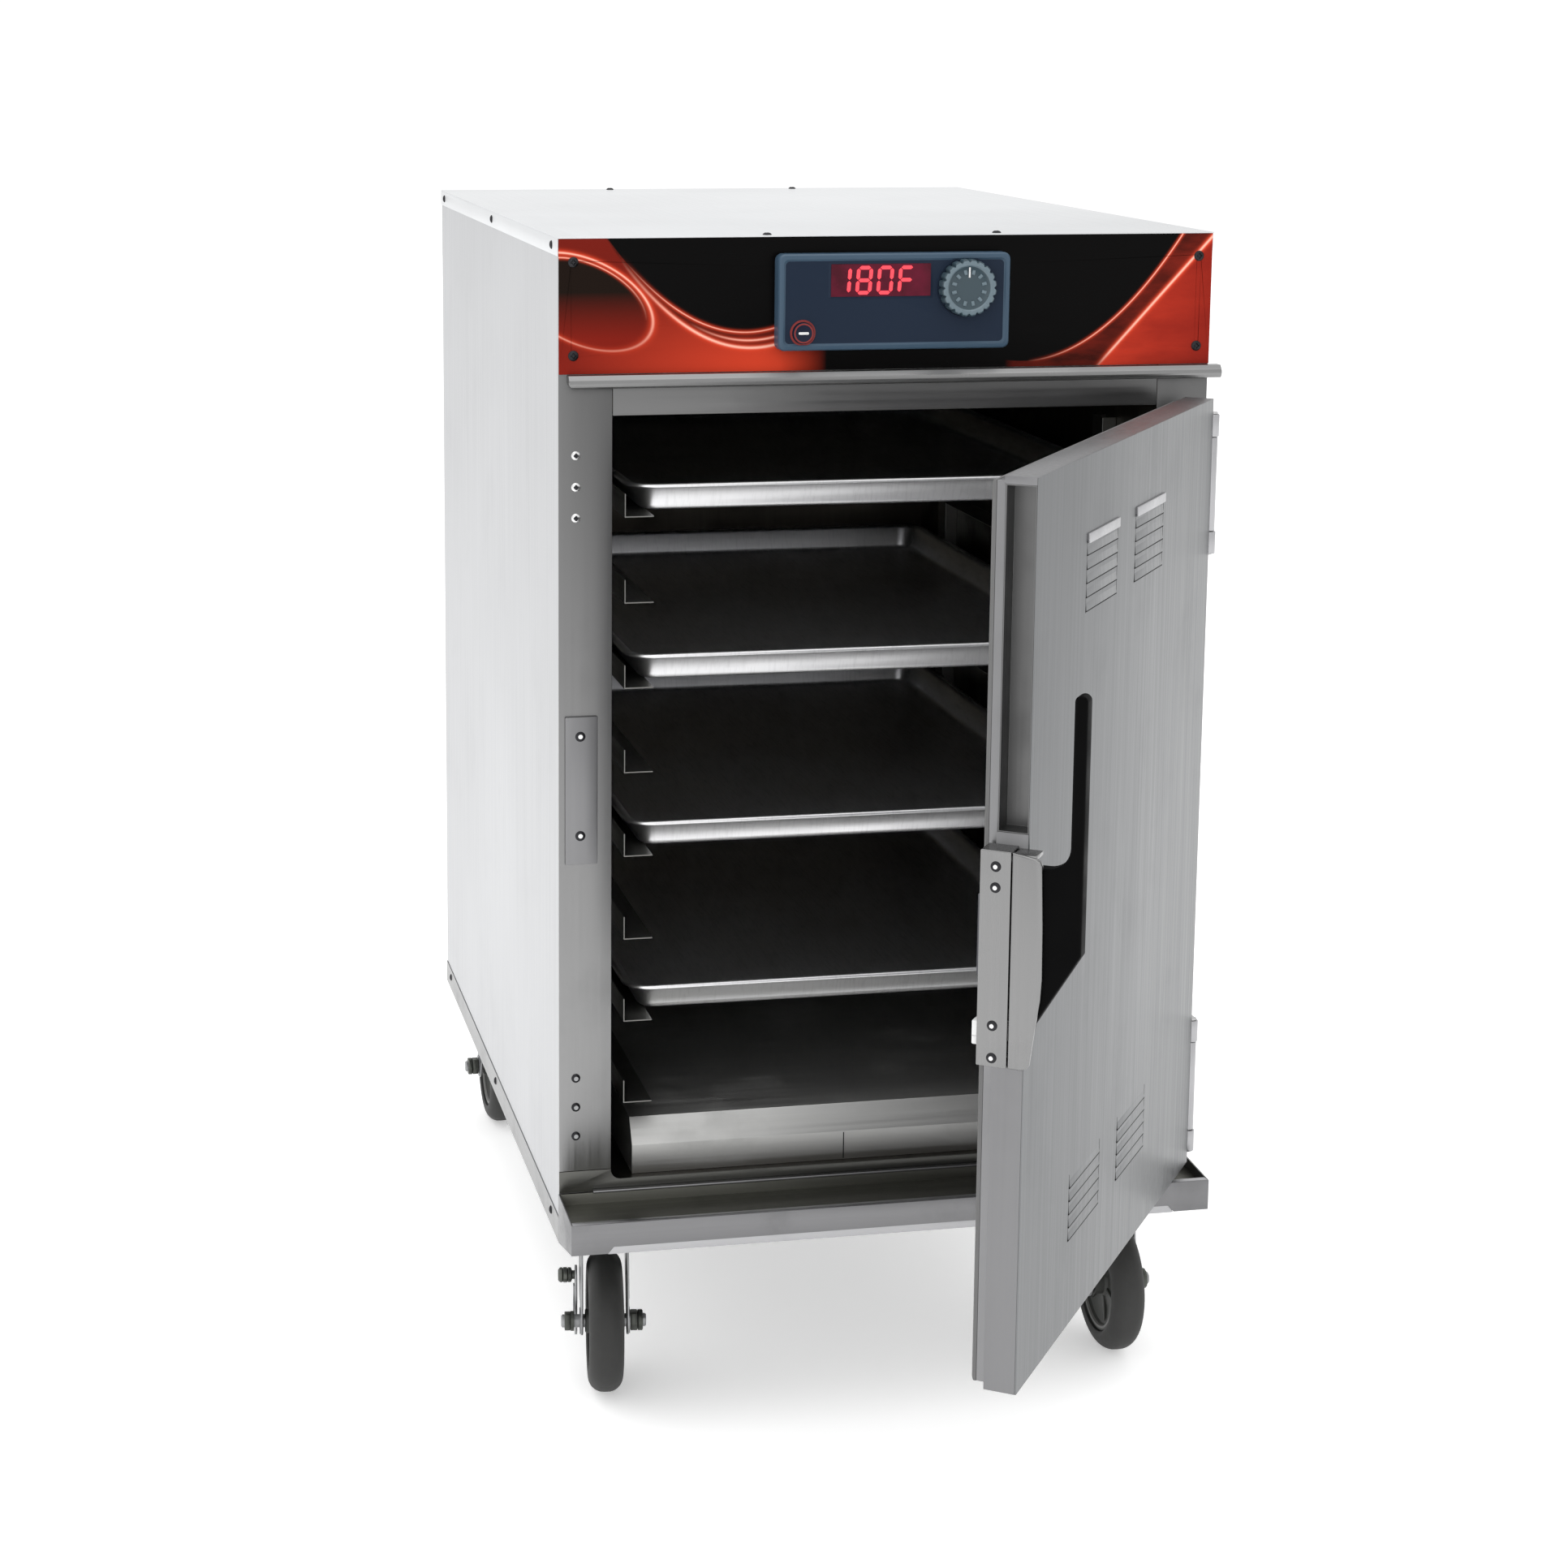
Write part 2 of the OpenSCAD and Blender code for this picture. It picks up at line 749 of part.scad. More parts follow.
module latch_handle() {
  color("black") on_door() difference() {
    along_x(lever_x0, lever_x1) polygon(lever_outline);
    bar_x(lever_x0 - 1, lever_x1 + 1, lever_y, lever_z, pin_r + running);
  }
}

// ---- Knob and button ----

notch_count = 20;
knob_deep = 11;

module control_knob() {
  color("lightsteelblue") place() union() {
    difference() {
      bar_y(box_front - 0.6 - knob_deep, box_front - 0.6, knob_x, knob_z, knob_d / 2);
      for (i = [0:notch_count - 1]) translate([knob_x, 0, knob_z]) rotate([0, i * 360 / notch_count, 0])
        bar_y(box_front - 1 - knob_deep, box_front, knob_d / 2 + 1, 0, 2.6);
    }
    bar_y(box_front - 0.7, -8, knob_x, knob_z, 3);
  }
}

module power_button() {
  color("navy") place() union() {
    bar_y(box_front - 3, box_front - 2.2, button_x, button_z, button_d / 2);
    bar_y(box_front - 2.2, -11.8, button_x, button_z, button_d / 2 - 1);
  }
}

// ---- Sheet pans ----

module sheet_pan(k) {
  base = top_ledge - pan_ledges[k] * slide_pitch + 0.2;
  wall = pan_w / 2 - pan_rim;
  back = pan_front + pan_l;
  color("white") place() translate([0, 0, base]) difference() {
    union() {
      linear_extrude(pan_h) rounded(-wall, wall, pan_front + pan_rim, back - pan_rim, 20);
      translate([0, 0, pan_h - 3.5]) linear_extrude(3.5)
        rounded(-pan_w / 2, pan_w / 2, pan_front, back, 26);
    }
    translate([0, 0, pan_t]) linear_extrude(pan_h)
      rounded(-wall + pan_t, wall - pan_t, pan_front + pan_rim + pan_t, back - pan_rim - pan_t, 20 - pan_t);
  }
}

module sheet_pan_1() { sheet_pan(0); }
module sheet_pan_2() { sheet_pan(1); }
module sheet_pan_3() { sheet_pan(2); }
module sheet_pan_4() { sheet_pan(3); }

// ---- Casters ----

// Corner 0 front left, 1 front right, 2 rear left, 3 rear right
module at_caster(corner) {
  x = corner % 2 == 0 ? -pivot_x : pivot_x;
  y = corner < 2 ? pivot_front : pivot_rear;
  place() translate([x, y, 0]) children();
}

module turned(corner) {
  at_caster(corner) rotate([0, 0, heading[corner]]) children();
}

race_top = base_bottom - plate_t - 0.5;
race_bottom = 148;

module caster_plates() {
  color("lightgray") for (corner = [0:3]) at_caster(corner) union() {
    difference() {
      block(-plate_half, plate_half, -plate_half, plate_half, base_bottom - plate_t, base_bottom);
      for (dx = [-bolt_half, bolt_half], dy = [-bolt_half, bolt_half])
        translate([dx, dy, base_bottom - plate_t - 1]) cylinder(h = plate_t + 2, r = 4.2);
    }
    translate([0, 0, 138]) cylinder(h = base_bottom - 138 - 1, r = axle_r);
    translate([0, 0, 138]) cylinder(h = 4.5, r = 10);
  }
}

module caster_bolts() {
  color("gray") for (corner = [0:3], dx = [-bolt_half, bolt_half], dy = [-bolt_half, bolt_half])
    at_caster(corner) translate([dx, dy, 0]) union() {
      translate([0, 0, base_bottom - plate_t - 3]) cylinder(h = plate_t + flange_t + 7, r = 4);
      translate([0, 0, base_bottom + flange_t]) cylinder(h = 5, r = 6.5, $fn = 6);
      translate([0, 0, base_bottom - plate_t - 5]) cylinder(h = 5, r = 6.5, $fn = 6);
    }
}

// One leg of the fork in (y, z)
leg_outline = concat([[28, race_bottom], [-34, race_bottom]],
  [[-44, 120]], arc(-trail, axle_z, 13, 170, 350, 10), [[6, 110]]);

module caster_fork(corner) {
  color("lightgray") turned(corner) {
    difference() {
      union() {
        for (x = [-fork_in - fork_t, fork_in]) along_x(x, x + fork_t) polygon(leg_outline);
        block(-fork_in - fork_t, fork_in + fork_t, -34, 28, race_bottom - 4, race_bottom);
        translate([0, 0, race_bottom - 1]) cylinder(h = race_top - race_bottom + 1, r = 27);
      }
      translate([0, 0, 130]) cylinder(h = 30, r = axle_r + running);
      bar_x(-60, 60, -trail, axle_z, axle_r + 0.1);
    }
    union() {
      bar_x(-fork_in - fork_t - 17, fork_in + fork_t + 15, -trail, axle_z, axle_r);
      bar_x(fork_in + fork_t + 0.1, fork_in + fork_t + 12, -trail, axle_z, 10);
      bar_x(-fork_in - fork_t - 14, -fork_in - fork_t - 5, -trail, axle_z, 9);
    }
  }
}

module caster_fork_fl() { caster_fork(0); }
module caster_fork_fr() { caster_fork(1); }
module caster_fork_rl() { caster_fork(2); }
module caster_fork_rr() { caster_fork(3); }

// Wheel core: hub, web and rim, turned about the axle
module wheel(corner) {
  color("dimgray") turned(corner) translate([0, -trail, axle_z]) rotate([0, 90, 0])
    rotate_extrude() polygon([[axle_r + running, -18], [hub_r, -18], [hub_r, -5], [core_r - 5, -5],
      [core_r - 4, -tread_w / 2 + 3], [core_r, -tread_w / 2 + 3], [core_r, tread_w / 2 - 3],
      [core_r - 4, tread_w / 2 - 3], [core_r - 5, 5], [hub_r, 5], [hub_r, 18], [axle_r + running, 18]]);
}

module wheel_fl() { wheel(0); }
module wheel_fr() { wheel(1); }
module wheel_rl() { wheel(2); }
module wheel_rr() { wheel(3); }

// Radius of a tyre's shoulders
shoulder = 14;

module tyre(corner) {
  r = wheel_d / 2;
  h = tread_w / 2;
  color("black") turned(corner) translate([0, -trail, axle_z]) rotate([0, 90, 0])
    rotate_extrude() polygon(concat([[core_r, -h + 1]], arc(r - shoulder, -h + shoulder, shoulder, 270, 355, 10),
      arc(r - shoulder, h - shoulder, shoulder, 5, 90, 10), [[core_r, h - 1]]));
}

module tyre_fl() { tyre(0); }
module tyre_fr() { tyre(1); }
module tyre_rl() { tyre(2); }
module tyre_rr() { tyre(3); }

// Brake lever on the left leg of a front fork
module brake_lever(corner) {
  x0 = -fork_in - fork_t - 3.2;
  color("gray") turned(corner) union() {
    along_x(x0, x0 + 2.4) polygon(concat(arc(brake_y, brake_z, 9, 20, 200, 8),
      [[-26, 76], [-22, 44], [-12, 40], [-6, 60]]));
    bar_x(x0 - 16, x0 + 1, brake_y, brake_z, 7);
  }
}

module brake_lever_fl() { brake_lever(0); }
module brake_lever_fr() { brake_lever(1); }

base_frame();
front_shelf();
left_side_panel();
right_side_panel();
back_panel();
top_cover();
front_frame();
canopy();
control_fascia();
compartment_floor();
cabinet_liner();
wall_insulation();
strike_plate();
hinge_brackets();
hinge_pins();
rack_posts();
pan_slides();
heater_cover();
heating_element();
temperature_probe();
controller_housing();
display_window();
control_board();
relay_box();
cord_gland();
cabinet_screws();
caster_plates();
caster_bolts();
door_shell();
door_liner();
door_insulation();
door_gasket();
door_edge_channel();
hinge_leaves();
latch_body();
latch_cover();
latch_magnet();
latch_pin();
door_screws();
latch_handle();
control_knob();
power_button();
sheet_pan_1();
sheet_pan_2();
sheet_pan_3();
sheet_pan_4();
caster_fork_fl();
caster_fork_fr();
caster_fork_rl();
caster_fork_rr();
wheel_fl();
wheel_fr();
wheel_rl();
wheel_rr();
tyre_fl();
tyre_fr();
tyre_rl();
tyre_rr();
brake_lever_fl();
brake_lever_fr();
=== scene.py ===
import json
from math import atan2, cos, pi, radians, sin
import bmesh
import bpy
from mathutils import Matrix, Vector


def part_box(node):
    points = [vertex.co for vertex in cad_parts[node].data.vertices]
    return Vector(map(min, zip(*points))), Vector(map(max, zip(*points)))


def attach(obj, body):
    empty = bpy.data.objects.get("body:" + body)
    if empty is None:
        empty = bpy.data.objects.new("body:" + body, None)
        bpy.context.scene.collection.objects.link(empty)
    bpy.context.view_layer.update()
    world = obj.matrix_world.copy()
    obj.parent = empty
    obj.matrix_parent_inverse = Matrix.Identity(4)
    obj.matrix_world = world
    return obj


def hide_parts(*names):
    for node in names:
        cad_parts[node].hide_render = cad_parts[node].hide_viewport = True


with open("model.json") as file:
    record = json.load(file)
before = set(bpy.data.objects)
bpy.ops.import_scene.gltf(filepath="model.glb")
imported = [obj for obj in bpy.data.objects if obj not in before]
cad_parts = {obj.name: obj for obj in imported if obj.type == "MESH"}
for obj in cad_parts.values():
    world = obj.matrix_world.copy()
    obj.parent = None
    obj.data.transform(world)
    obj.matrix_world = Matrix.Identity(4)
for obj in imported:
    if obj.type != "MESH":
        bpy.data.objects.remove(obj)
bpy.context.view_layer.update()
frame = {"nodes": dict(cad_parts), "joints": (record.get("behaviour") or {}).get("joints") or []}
nodes = frame["nodes"]
joints = {joint["name"]: joint for joint in frame["joints"]}


# ---- places
# at(x, y, z) takes millimetres from the middle of the body's front plane at floor level.
MM = 0.001
cover_low, cover_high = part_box("top_cover")
MID_X = (cover_low.x + cover_high.x) / 2
FRONT_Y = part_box("front_frame")[1].y - 2 * MM
HALF_W = (cover_high.x - cover_low.x) / 2 / MM
BODY_D = (cover_high.y - FRONT_Y) / MM
LID_Z = cover_high.z / MM


def at(x, y, z):
    return Vector((MID_X + x * MM, FRONT_Y + y * MM, z * MM))


CABINET = Matrix.Translation(at(0, 0, 0))
swing = joints["door_swing"]
PIN = Vector((swing["pos_m"][0], swing["pos_m"][1], 0))
DOOR = Matrix.Translation(PIN) @ Matrix.Rotation(radians(-swing["range_deg"][0]), 4, "Z")


def caster_frame(corner):
    """The caster's own frame: its swivel axis at the origin, its wheel on the -Y side."""
    pivot = joints["swivel_" + corner]["pos_m"]
    axle = joints["roll_" + corner]["axis"]
    heading = Matrix.Rotation(atan2(axle[1], axle[0]), 4, "Z")
    return Matrix.Translation((pivot[0], pivot[1], 0)) @ heading


def node_box(node, space=CABINET):
    """Lowest and highest corners of a CAD node in a local frame, in millimetres."""
    inverse = space.inverted()
    points = [inverse @ v.co for v in nodes[node].data.vertices]
    low = Vector([min(p[i] for p in points) / MM for i in range(3)])
    high = Vector([max(p[i] for p in points) / MM for i in range(3)])
    return low, high


# ---- materials
class Tree:
    """A short way to wire a material's nodes; every pattern is laid out in the object's own metres."""

    def __init__(self, name):
        self.material = bpy.data.materials.new(name)
        self.material.use_nodes = True
        self.nodes = self.material.node_tree.nodes
        self.links = self.material.node_tree.links
        self.shader = self.nodes["Principled BSDF"]
        self.coords = self.add("ShaderNodeTexCoord").outputs["Object"]

    def add(self, kind, **settings):
        node = self.nodes.new(kind)
        for key, value in settings.items():
            setattr(node, key, value)
        return node

    def feed(self, socket, value):
        if hasattr(value, "links"):
            self.links.new(value, socket)
        else:
            socket.default_value = value

    def noise(self, scale, detail=4.0, stretch=(1, 1, 1), rough=0.5):
        mapping = self.add("ShaderNodeMapping")
        mapping.inputs["Scale"].default_value = stretch
        self.links.new(self.coords, mapping.inputs["Vector"])
        texture = self.add("ShaderNodeTexNoise")
        texture.inputs["Scale"].default_value = scale
        texture.inputs["Detail"].default_value = detail
        texture.inputs["Roughness"].default_value = rough
        self.links.new(mapping.outputs["Vector"], texture.inputs["Vector"])
        return texture.outputs["Fac"]

    def math(self, operation, a, b=0.0, c=0.0):
        node = self.add("ShaderNodeMath", operation=operation)
        for socket, value in zip(node.inputs, (a, b, c)):
            self.feed(socket, value)
        return node.outputs[0]

    def times(self, a, b):
        return self.math("MULTIPLY", a, b)

    def plus(self, a, b):
        return self.math("ADD", a, b)

    def minus(self, a, b):
        return self.math("SUBTRACT", a, b)

    def axes(self):
        """The X, Y and Z of a point, in metres."""
        split = self.add("ShaderNodeSeparateXYZ")
        self.links.new(self.coords, split.inputs[0])
        return split.outputs

    def ranged(self, value, low, high, to_low=0.0, to_high=1.0):
        node = self.add("ShaderNodeMapRange")
        for key, number in zip(("From Min", "From Max", "To Min", "To Max"), (low, high, to_low, to_high)):
            node.inputs[key].default_value = number
        self.links.new(value, node.inputs["Value"])
        return node.outputs["Result"]

    def mix(self, factor, a, b, blend="MIX"):
        node = self.add("ShaderNodeMix", data_type="RGBA", blend_type=blend)
        self.feed(node.inputs["Factor"], factor)
        for socket, value in zip((node.inputs[6], node.inputs[7]), (a, b)):
            self.feed(socket, value if hasattr(value, "links") else (*value, 1.0))
        return node.outputs[2]

    def bump(self, height, strength, distance):
        node = self.add("ShaderNodeBump")
        node.inputs["Strength"].default_value = strength
        node.inputs["Distance"].default_value = distance
        self.links.new(height, node.inputs["Height"])
        self.links.new(node.outputs["Normal"], self.shader.inputs["Normal"])

    def set(self, **inputs):
        for key, value in inputs.items():
            self.feed(self.shader.inputs[key.replace("_", " ")], value)


def scaled(colour, factor):
    return tuple(min(1.0, channel * factor) for channel in colour)


# Stretch of the grain for sheet brushed along x, along y or along z
ALONG_X = (3, 260, 260)
ALONG_Y = (260, 3, 260)
ALONG_Z = (260, 260, 3)


def brushed(name, colour, rough=0.34, grain=ALONG_Z, contrast=0.10, smudge=0.10, bump=0.10, height_shade=None):
    """Brushed stainless sheet: fine grain, broad clouds, faint smudges and, if asked, a painted shade that
    changes with height.
    """
    tree = Tree(name)
    lines = tree.noise(1.0, 3.0, grain, 0.6)
    cloud = tree.noise(2.4, 3.0)
    smudges = tree.ranged(tree.noise(11.0, 6.0, rough=0.62), 0.52, 0.75)
    shade = tree.mix(tree.ranged(lines, 0.3, 0.7), scaled(colour, 1 - contrast),
        scaled(colour, 1 + contrast))
    shade = tree.mix(tree.ranged(cloud, 0.3, 0.7, 0.0, 1.0), shade, scaled(colour, 0.9))
    shade = tree.mix(tree.times(smudges, smudge * 2), shade, scaled(colour, 0.72))
    # Painted shade: the colour is multiplied by a tone that changes with height.
    if height_shade:
        (low_z, low_tone), (high_z, high_tone) = height_shade
        tones = [tree.mix(1.0, shade, (tone, tone, tone), "MULTIPLY") for tone in (low_tone, high_tone)]
        shade = tree.mix(tree.ranged(tree.axes()["Z"], low_z, high_z), *tones)
    roughness = tree.plus(tree.ranged(lines, 0.3, 0.7, rough - 0.05, rough + 0.07),
        tree.times(smudges, smudge))
    tree.set(Base_Color=shade, Metallic=1.0, Roughness=roughness)
    tree.bump(lines, bump, 0.0002)
    return tree.material


def satin_aluminium(name):
    """Pressed sheet-pan aluminium: soft cloudy shine with fine use scratches."""
    tree = Tree(name)
    scratches = tree.noise(1.0, 4.0, (420, 30, 60), 0.6)
    cloud = tree.noise(5.0, 3.0)
    colour = tree.mix(tree.ranged(cloud, 0.3, 0.75), (0.93, 0.93, 0.94), (0.80, 0.80, 0.81))
    colour = tree.mix(tree.ranged(scratches, 0.5, 0.8, 0.0, 0.35), colour, (0.55, 0.55, 0.56))
    tree.set(Base_Color=colour, Metallic=1.0, Roughness=tree.ranged(cloud, 0.3, 0.7, 0.30, 0.38))
    tree.bump(scratches, 0.02, 0.0001)
    return tree.material


def polished(name, colour, rough=0.16, wear=0.35):
    """Plated metal: bright, with dull worn patches and pits."""
    tree = Tree(name)
    patches = tree.noise(38.0, 5.0, rough=0.6)
    pits = tree.noise(420.0, 2.0)
    shade = tree.mix(tree.ranged(patches, 0.45, 0.72, 0.0, wear), colour, scaled(colour, 0.45))
    tree.set(Base_Color=shade, Metallic=1.0, Roughness=tree.ranged(patches, 0.3, 0.75, rough, rough + 0.22))
    tree.bump(pits, 0.05, 0.0002)
    return tree.material


def plastic(name, colour, rough=0.42, grain=700.0, bump=0.25, accent=0.22, gloss=0.5):
    """Moulded plastic with a fine leathery grain."""
    tree = Tree(name)
    fine = tree.noise(grain, 3.0)
    worn = tree.noise(26.0, 5.0)
    rubbed = tuple(c + (0.35 - c) * accent * 0.3 for c in colour)
    shade = tree.mix(tree.ranged(worn, 0.4, 0.75), colour, rubbed)
    tree.set(Base_Color=shade, Roughness=tree.ranged(worn, 0.35, 0.7, rough - 0.06, rough + 0.1),
        Specular_IOR_Level=gloss)
    tree.bump(fine, bump, 0.0003)
    return tree.material


def rubber(name, colour):
    """Caster rubber: dull, slightly dusty, with small pits."""
    tree = Tree(name)
    dust = tree.noise(30.0, 6.0, rough=0.65)
    pits = tree.noise(500.0, 2.0)
    shade = tree.mix(tree.ranged(dust, 0.45, 0.72), colour, tuple(c + 0.012 for c in colour))
    tree.set(Base_Color=shade, Roughness=tree.ranged(dust, 0.3, 0.7, 0.52, 0.75), Specular_IOR_Level=0.3)
    tree.bump(pits, 0.3, 0.0004)
    return tree.material


def wool(name):
    """Packed glass wool."""
    tree = Tree(name)
    fibres = tree.noise(90.0, 8.0, (1, 1, 6), 0.75)
    shade = tree.mix(tree.ranged(fibres, 0.35, 0.7), (0.80, 0.70, 0.36), (0.55, 0.46, 0.2))
    tree.set(Base_Color=shade, Roughness=0.95)
    tree.bump(fibres, 0.8, 0.002)
    return tree.material


def circuit(name):
    """Green solder-resist with copper tracks."""
    tree = Tree(name)
    tracks = tree.add("ShaderNodeTexBrick")
    tracks.inputs["Scale"].default_value = 160.0
    tree.links.new(tree.coords, tracks.inputs["Vector"])
    shade = tree.mix(tracks.outputs["Fac"], (0.02, 0.16, 0.07), (0.05, 0.30, 0.12))
    tree.set(Base_Color=shade, Roughness=0.35)
    tree.bump(tracks.outputs["Fac"], 0.3, 0.0003)
    return tree.material


def fascia_print(name):
    """Black overlay: red ribbons sweep in from both ends, edged with thin bright lines, round a dark eye."""
    tree = Tree(name)
    axes = tree.axes()
    across = tree.times(tree.minus(axes["X"], MID_X), 1 / MM)
    height = tree.times(tree.minus(axes["Z"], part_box("control_fascia")[0].z), 1 / MM)

    def bowl(centre, bend, foot):
        """Millimetres above a parabola, measured square to it."""
        side = tree.minus(across, centre)
        curve = tree.math("MULTIPLY_ADD", tree.times(side, side), bend, foot)
        slope = tree.times(side, 2 * bend)
        steep = tree.math("SQRT", tree.math("MULTIPLY_ADD", slope, slope, 1.0))
        return tree.math("DIVIDE", tree.minus(height, curve), steep)

    def line(distance, width):
        ratio = tree.math("DIVIDE", distance, width)
        return tree.math("EXPONENT", tree.times(tree.times(ratio, ratio), -1.0))

    left = tree.ranged(across, -58.0, -100.0)
    right = tree.ranged(across, 104.0, 112.0)
    streaks = tree.noise(1.0, 5.0, (16, 16, 60), 0.6)
    streaky = tree.ranged(streaks, 0.3, 0.7)
    upper = bowl(-130.0, 0.0055, 34.0)
    middle = bowl(-127.0, 0.0056, 27.0)
    lower = bowl(-125.0, 0.0058, 20.5)
    # The eye: an ellipse that leans down to the right
    dx, dz = tree.plus(across, 272.0), tree.minus(height, 62.0)
    major = tree.math("MULTIPLY_ADD", dx, 0.906 / 64, tree.times(dz, -0.423 / 64))
    minor = tree.math("MULTIPLY_ADD", dx, 0.423 / 36, tree.times(dz, 0.906 / 36))
    reach = tree.math("SQRT", tree.plus(tree.times(major, major), tree.times(minor, minor)))
    eye = tree.times(tree.minus(reach, 1.0), 45.0)
    # Right-hand pair: a parabola and a nearly straight rising line
    bowl_right = bowl(120.0, 0.0052, 5.0)
    rising = tree.math("DIVIDE", tree.minus(height, tree.times(tree.minus(across, 190.0), 1.09)), 1.48)

    black = (0.0008, 0.0006, 0.0006)
    glow = tree.ranged(across, -290.0, -120.0)
    red = tree.mix(glow, (0.20, 0.012, 0.006), (0.66, 0.055, 0.022))
    red = tree.mix(tree.ranged(height, 5.0, 75.0), red, (0.16, 0.010, 0.005))
    dim = tree.mix(streaky, (0.035, 0.004, 0.002), (0.16, 0.012, 0.006))
    shade = tree.mix(tree.times(tree.ranged(upper, 0.4, -0.4), left), black, dim)
    shade = tree.mix(tree.times(tree.ranged(lower, 0.4, -0.4), left), shade, red)
    inside = tree.mix(tree.ranged(height, 30.0, 70.0), (0.20, 0.011, 0.005), (0.010, 0.005, 0.003))
    shade = tree.mix(tree.ranged(eye, 0.4, -0.4), shade, inside)
    red_right = tree.mix(tree.ranged(across, 180.0, 294.0), (0.62, 0.045, 0.02), (0.26, 0.016, 0.008))
    red_right = tree.mix(tree.ranged(streaks, 0.35, 0.7, 0.0, 0.5), red_right, (0.20, 0.010, 0.006))
    shade = tree.mix(tree.times(tree.ranged(bowl_right, 0.4, -0.4), right), shade, dim)
    shade = tree.mix(tree.times(tree.ranged(rising, 0.4, -0.4), right), shade, red_right)

    def edge(distance, mask, halo, core, strength=1.0):
        nonlocal shade
        shade = tree.mix(tree.times(tree.times(line(distance, halo), mask), 0.8 * strength), shade,
            (0.85, 0.07, 0.025))
        shade = tree.mix(tree.times(tree.times(line(distance, core), mask), strength), shade,
            (1.0, 0.50, 0.38))

    below_eye = tree.ranged(height, 22.0, 62.0, 0.35, 1.0)
    edge(eye, tree.times(below_eye, tree.ranged(across, -150.0, -205.0)), 3.0, 0.9, 0.9)
    edge(tree.plus(eye, 4.5), tree.times(tree.ranged(height, 45.0, 75.0),
        tree.ranged(across, -200.0, -250.0, 0.2, 1.0)), 1.8, 0.6, 0.7)
    edge(upper, tree.times(left, tree.ranged(across, -235.0, -190.0)), 1.8, 0.5, 0.75)
    edge(middle, tree.times(left, tree.ranged(across, -180.0, -130.0)), 1.8, 0.8, 0.8)
    edge(lower, tree.times(left, tree.ranged(across, -240.0, -180.0)), 2.6, 1.1)
    edge(bowl_right, tree.times(right, tree.ranged(across, 125.0, 185.0)), 1.6, 0.5, 0.8)
    edge(rising, tree.times(right, tree.ranged(height, -4.0, 14.0)), 2.6, 1.0)
    tree.set(Base_Color=shade, Roughness=tree.ranged(streaks, 0.3, 0.7, 0.26, 0.34),
        Specular_IOR_Level=0.06)
    tree.bump(tree.noise(600.0, 2.0), 0.05, 0.0002)
    return tree.material


def lamp_red(name):
    """Lit segment: red, with a slightly uneven glow."""
    tree = Tree(name)
    uneven = tree.noise(260.0, 2.0)
    shade = tree.mix(uneven, (1.0, 0.035, 0.06), (0.95, 0.06, 0.08))
    tree.set(Base_Color=shade, Emission_Color=shade, Roughness=0.4, Emission_Strength=0.55)
    return tree.material


def display_glass(name):
    """Smoked red window."""
    tree = Tree(name)
    cloud = tree.noise(60.0, 3.0)
    shade = tree.mix(tree.ranged(cloud, 0.3, 0.7), (0.05, 0.002, 0.009), (0.10, 0.004, 0.018))
    tree.set(Base_Color=shade, Emission_Color=shade, Emission_Strength=0.25, Specular_IOR_Level=0.15,
        Roughness=tree.ranged(cloud, 0.3, 0.7, 0.25, 0.35))
    return tree.material


# The parts are one brushed stainless, each given its own tone. These tones are lit and shaded copies of that
# steel, so they hold painted light and shade: the lid and the lip are lighter, the rails, sill, trough, edge
# channel and liner darker, and the frame and door carry a painted shade that changes with height.
STEEL = {name: brushed(name + "_sheet", *look) for name, look in {
    "side": ((0.485, 0.49, 0.50), 0.42, ALONG_Z, 0.02, 0.03, 0.05),
    "top": ((0.68, 0.69, 0.70), 0.38, ALONG_Y, 0.02, 0.03, 0.05),
    "back": ((0.50, 0.51, 0.52), 0.42, ALONG_Z, 0.03, 0.06),
    "frame": ((0.24, 0.24, 0.24), 0.34, ALONG_Z, 0.05, 0.08, 0.10, ((0.25, 1.25), (0.95, 0.62))),
    "rail": ((0.16, 0.16, 0.16), 0.34, ALONG_X, 0.06, 0.10),
    "canopy": ((0.25, 0.25, 0.25), 0.30, ALONG_X, 0.06, 0.10),
    "strike": ((0.23, 0.23, 0.235), 0.34, ALONG_Z, 0.05, 0.10),
    "sill": ((0.14, 0.14, 0.13), 0.38, ALONG_X, 0.08, 0.2),
    "trough": ((0.17, 0.17, 0.15), 0.42, ALONG_X, 0.08, 0.2),
    "shelf": ((0.215, 0.215, 0.22), 0.36, ALONG_X, 0.07, 0.2),
    "lip": ((0.42, 0.42, 0.43), 0.34, ALONG_X, 0.05, 0.1),
    "base": ((0.34, 0.34, 0.34), 0.42, ALONG_Y, 0.05, 0.15),
    "door": ((0.225, 0.23, 0.235), 0.42, ALONG_Z, 0.02, 0.04, 0.05, ((0.25, 0.90), (1.08, 0.94))),
    "door_edge": ((0.225, 0.225, 0.23), 0.42, ALONG_Z, 0.03, 0.05),
    "channel": ((0.16, 0.16, 0.16), 0.45, ALONG_Z, 0.05, 0.1),
    "liner": ((0.070, 0.064, 0.054), 0.42, ALONG_Z, 0.2, 0.3),
    "slide": ((0.20, 0.20, 0.19), 0.36, ALONG_Y, 0.1, 0.2),
    "heater": ((0.52, 0.52, 0.51), 0.46, ALONG_X, 0.08, 0.2),
    "latch": ((0.25, 0.25, 0.25), 0.24, ALONG_Z, 0.08, 0.14),
    "inner": ((0.5, 0.5, 0.5), 0.45, ALONG_X, 0.06, 0.1),
}.items()}
ALUMINIUM = satin_aluminium("pan_aluminium")
CHROME = polished("satin_chrome", (0.48, 0.48, 0.48), 0.26)
ZINC = polished("zinc_plate", (0.34, 0.345, 0.35), 0.30, 0.5)
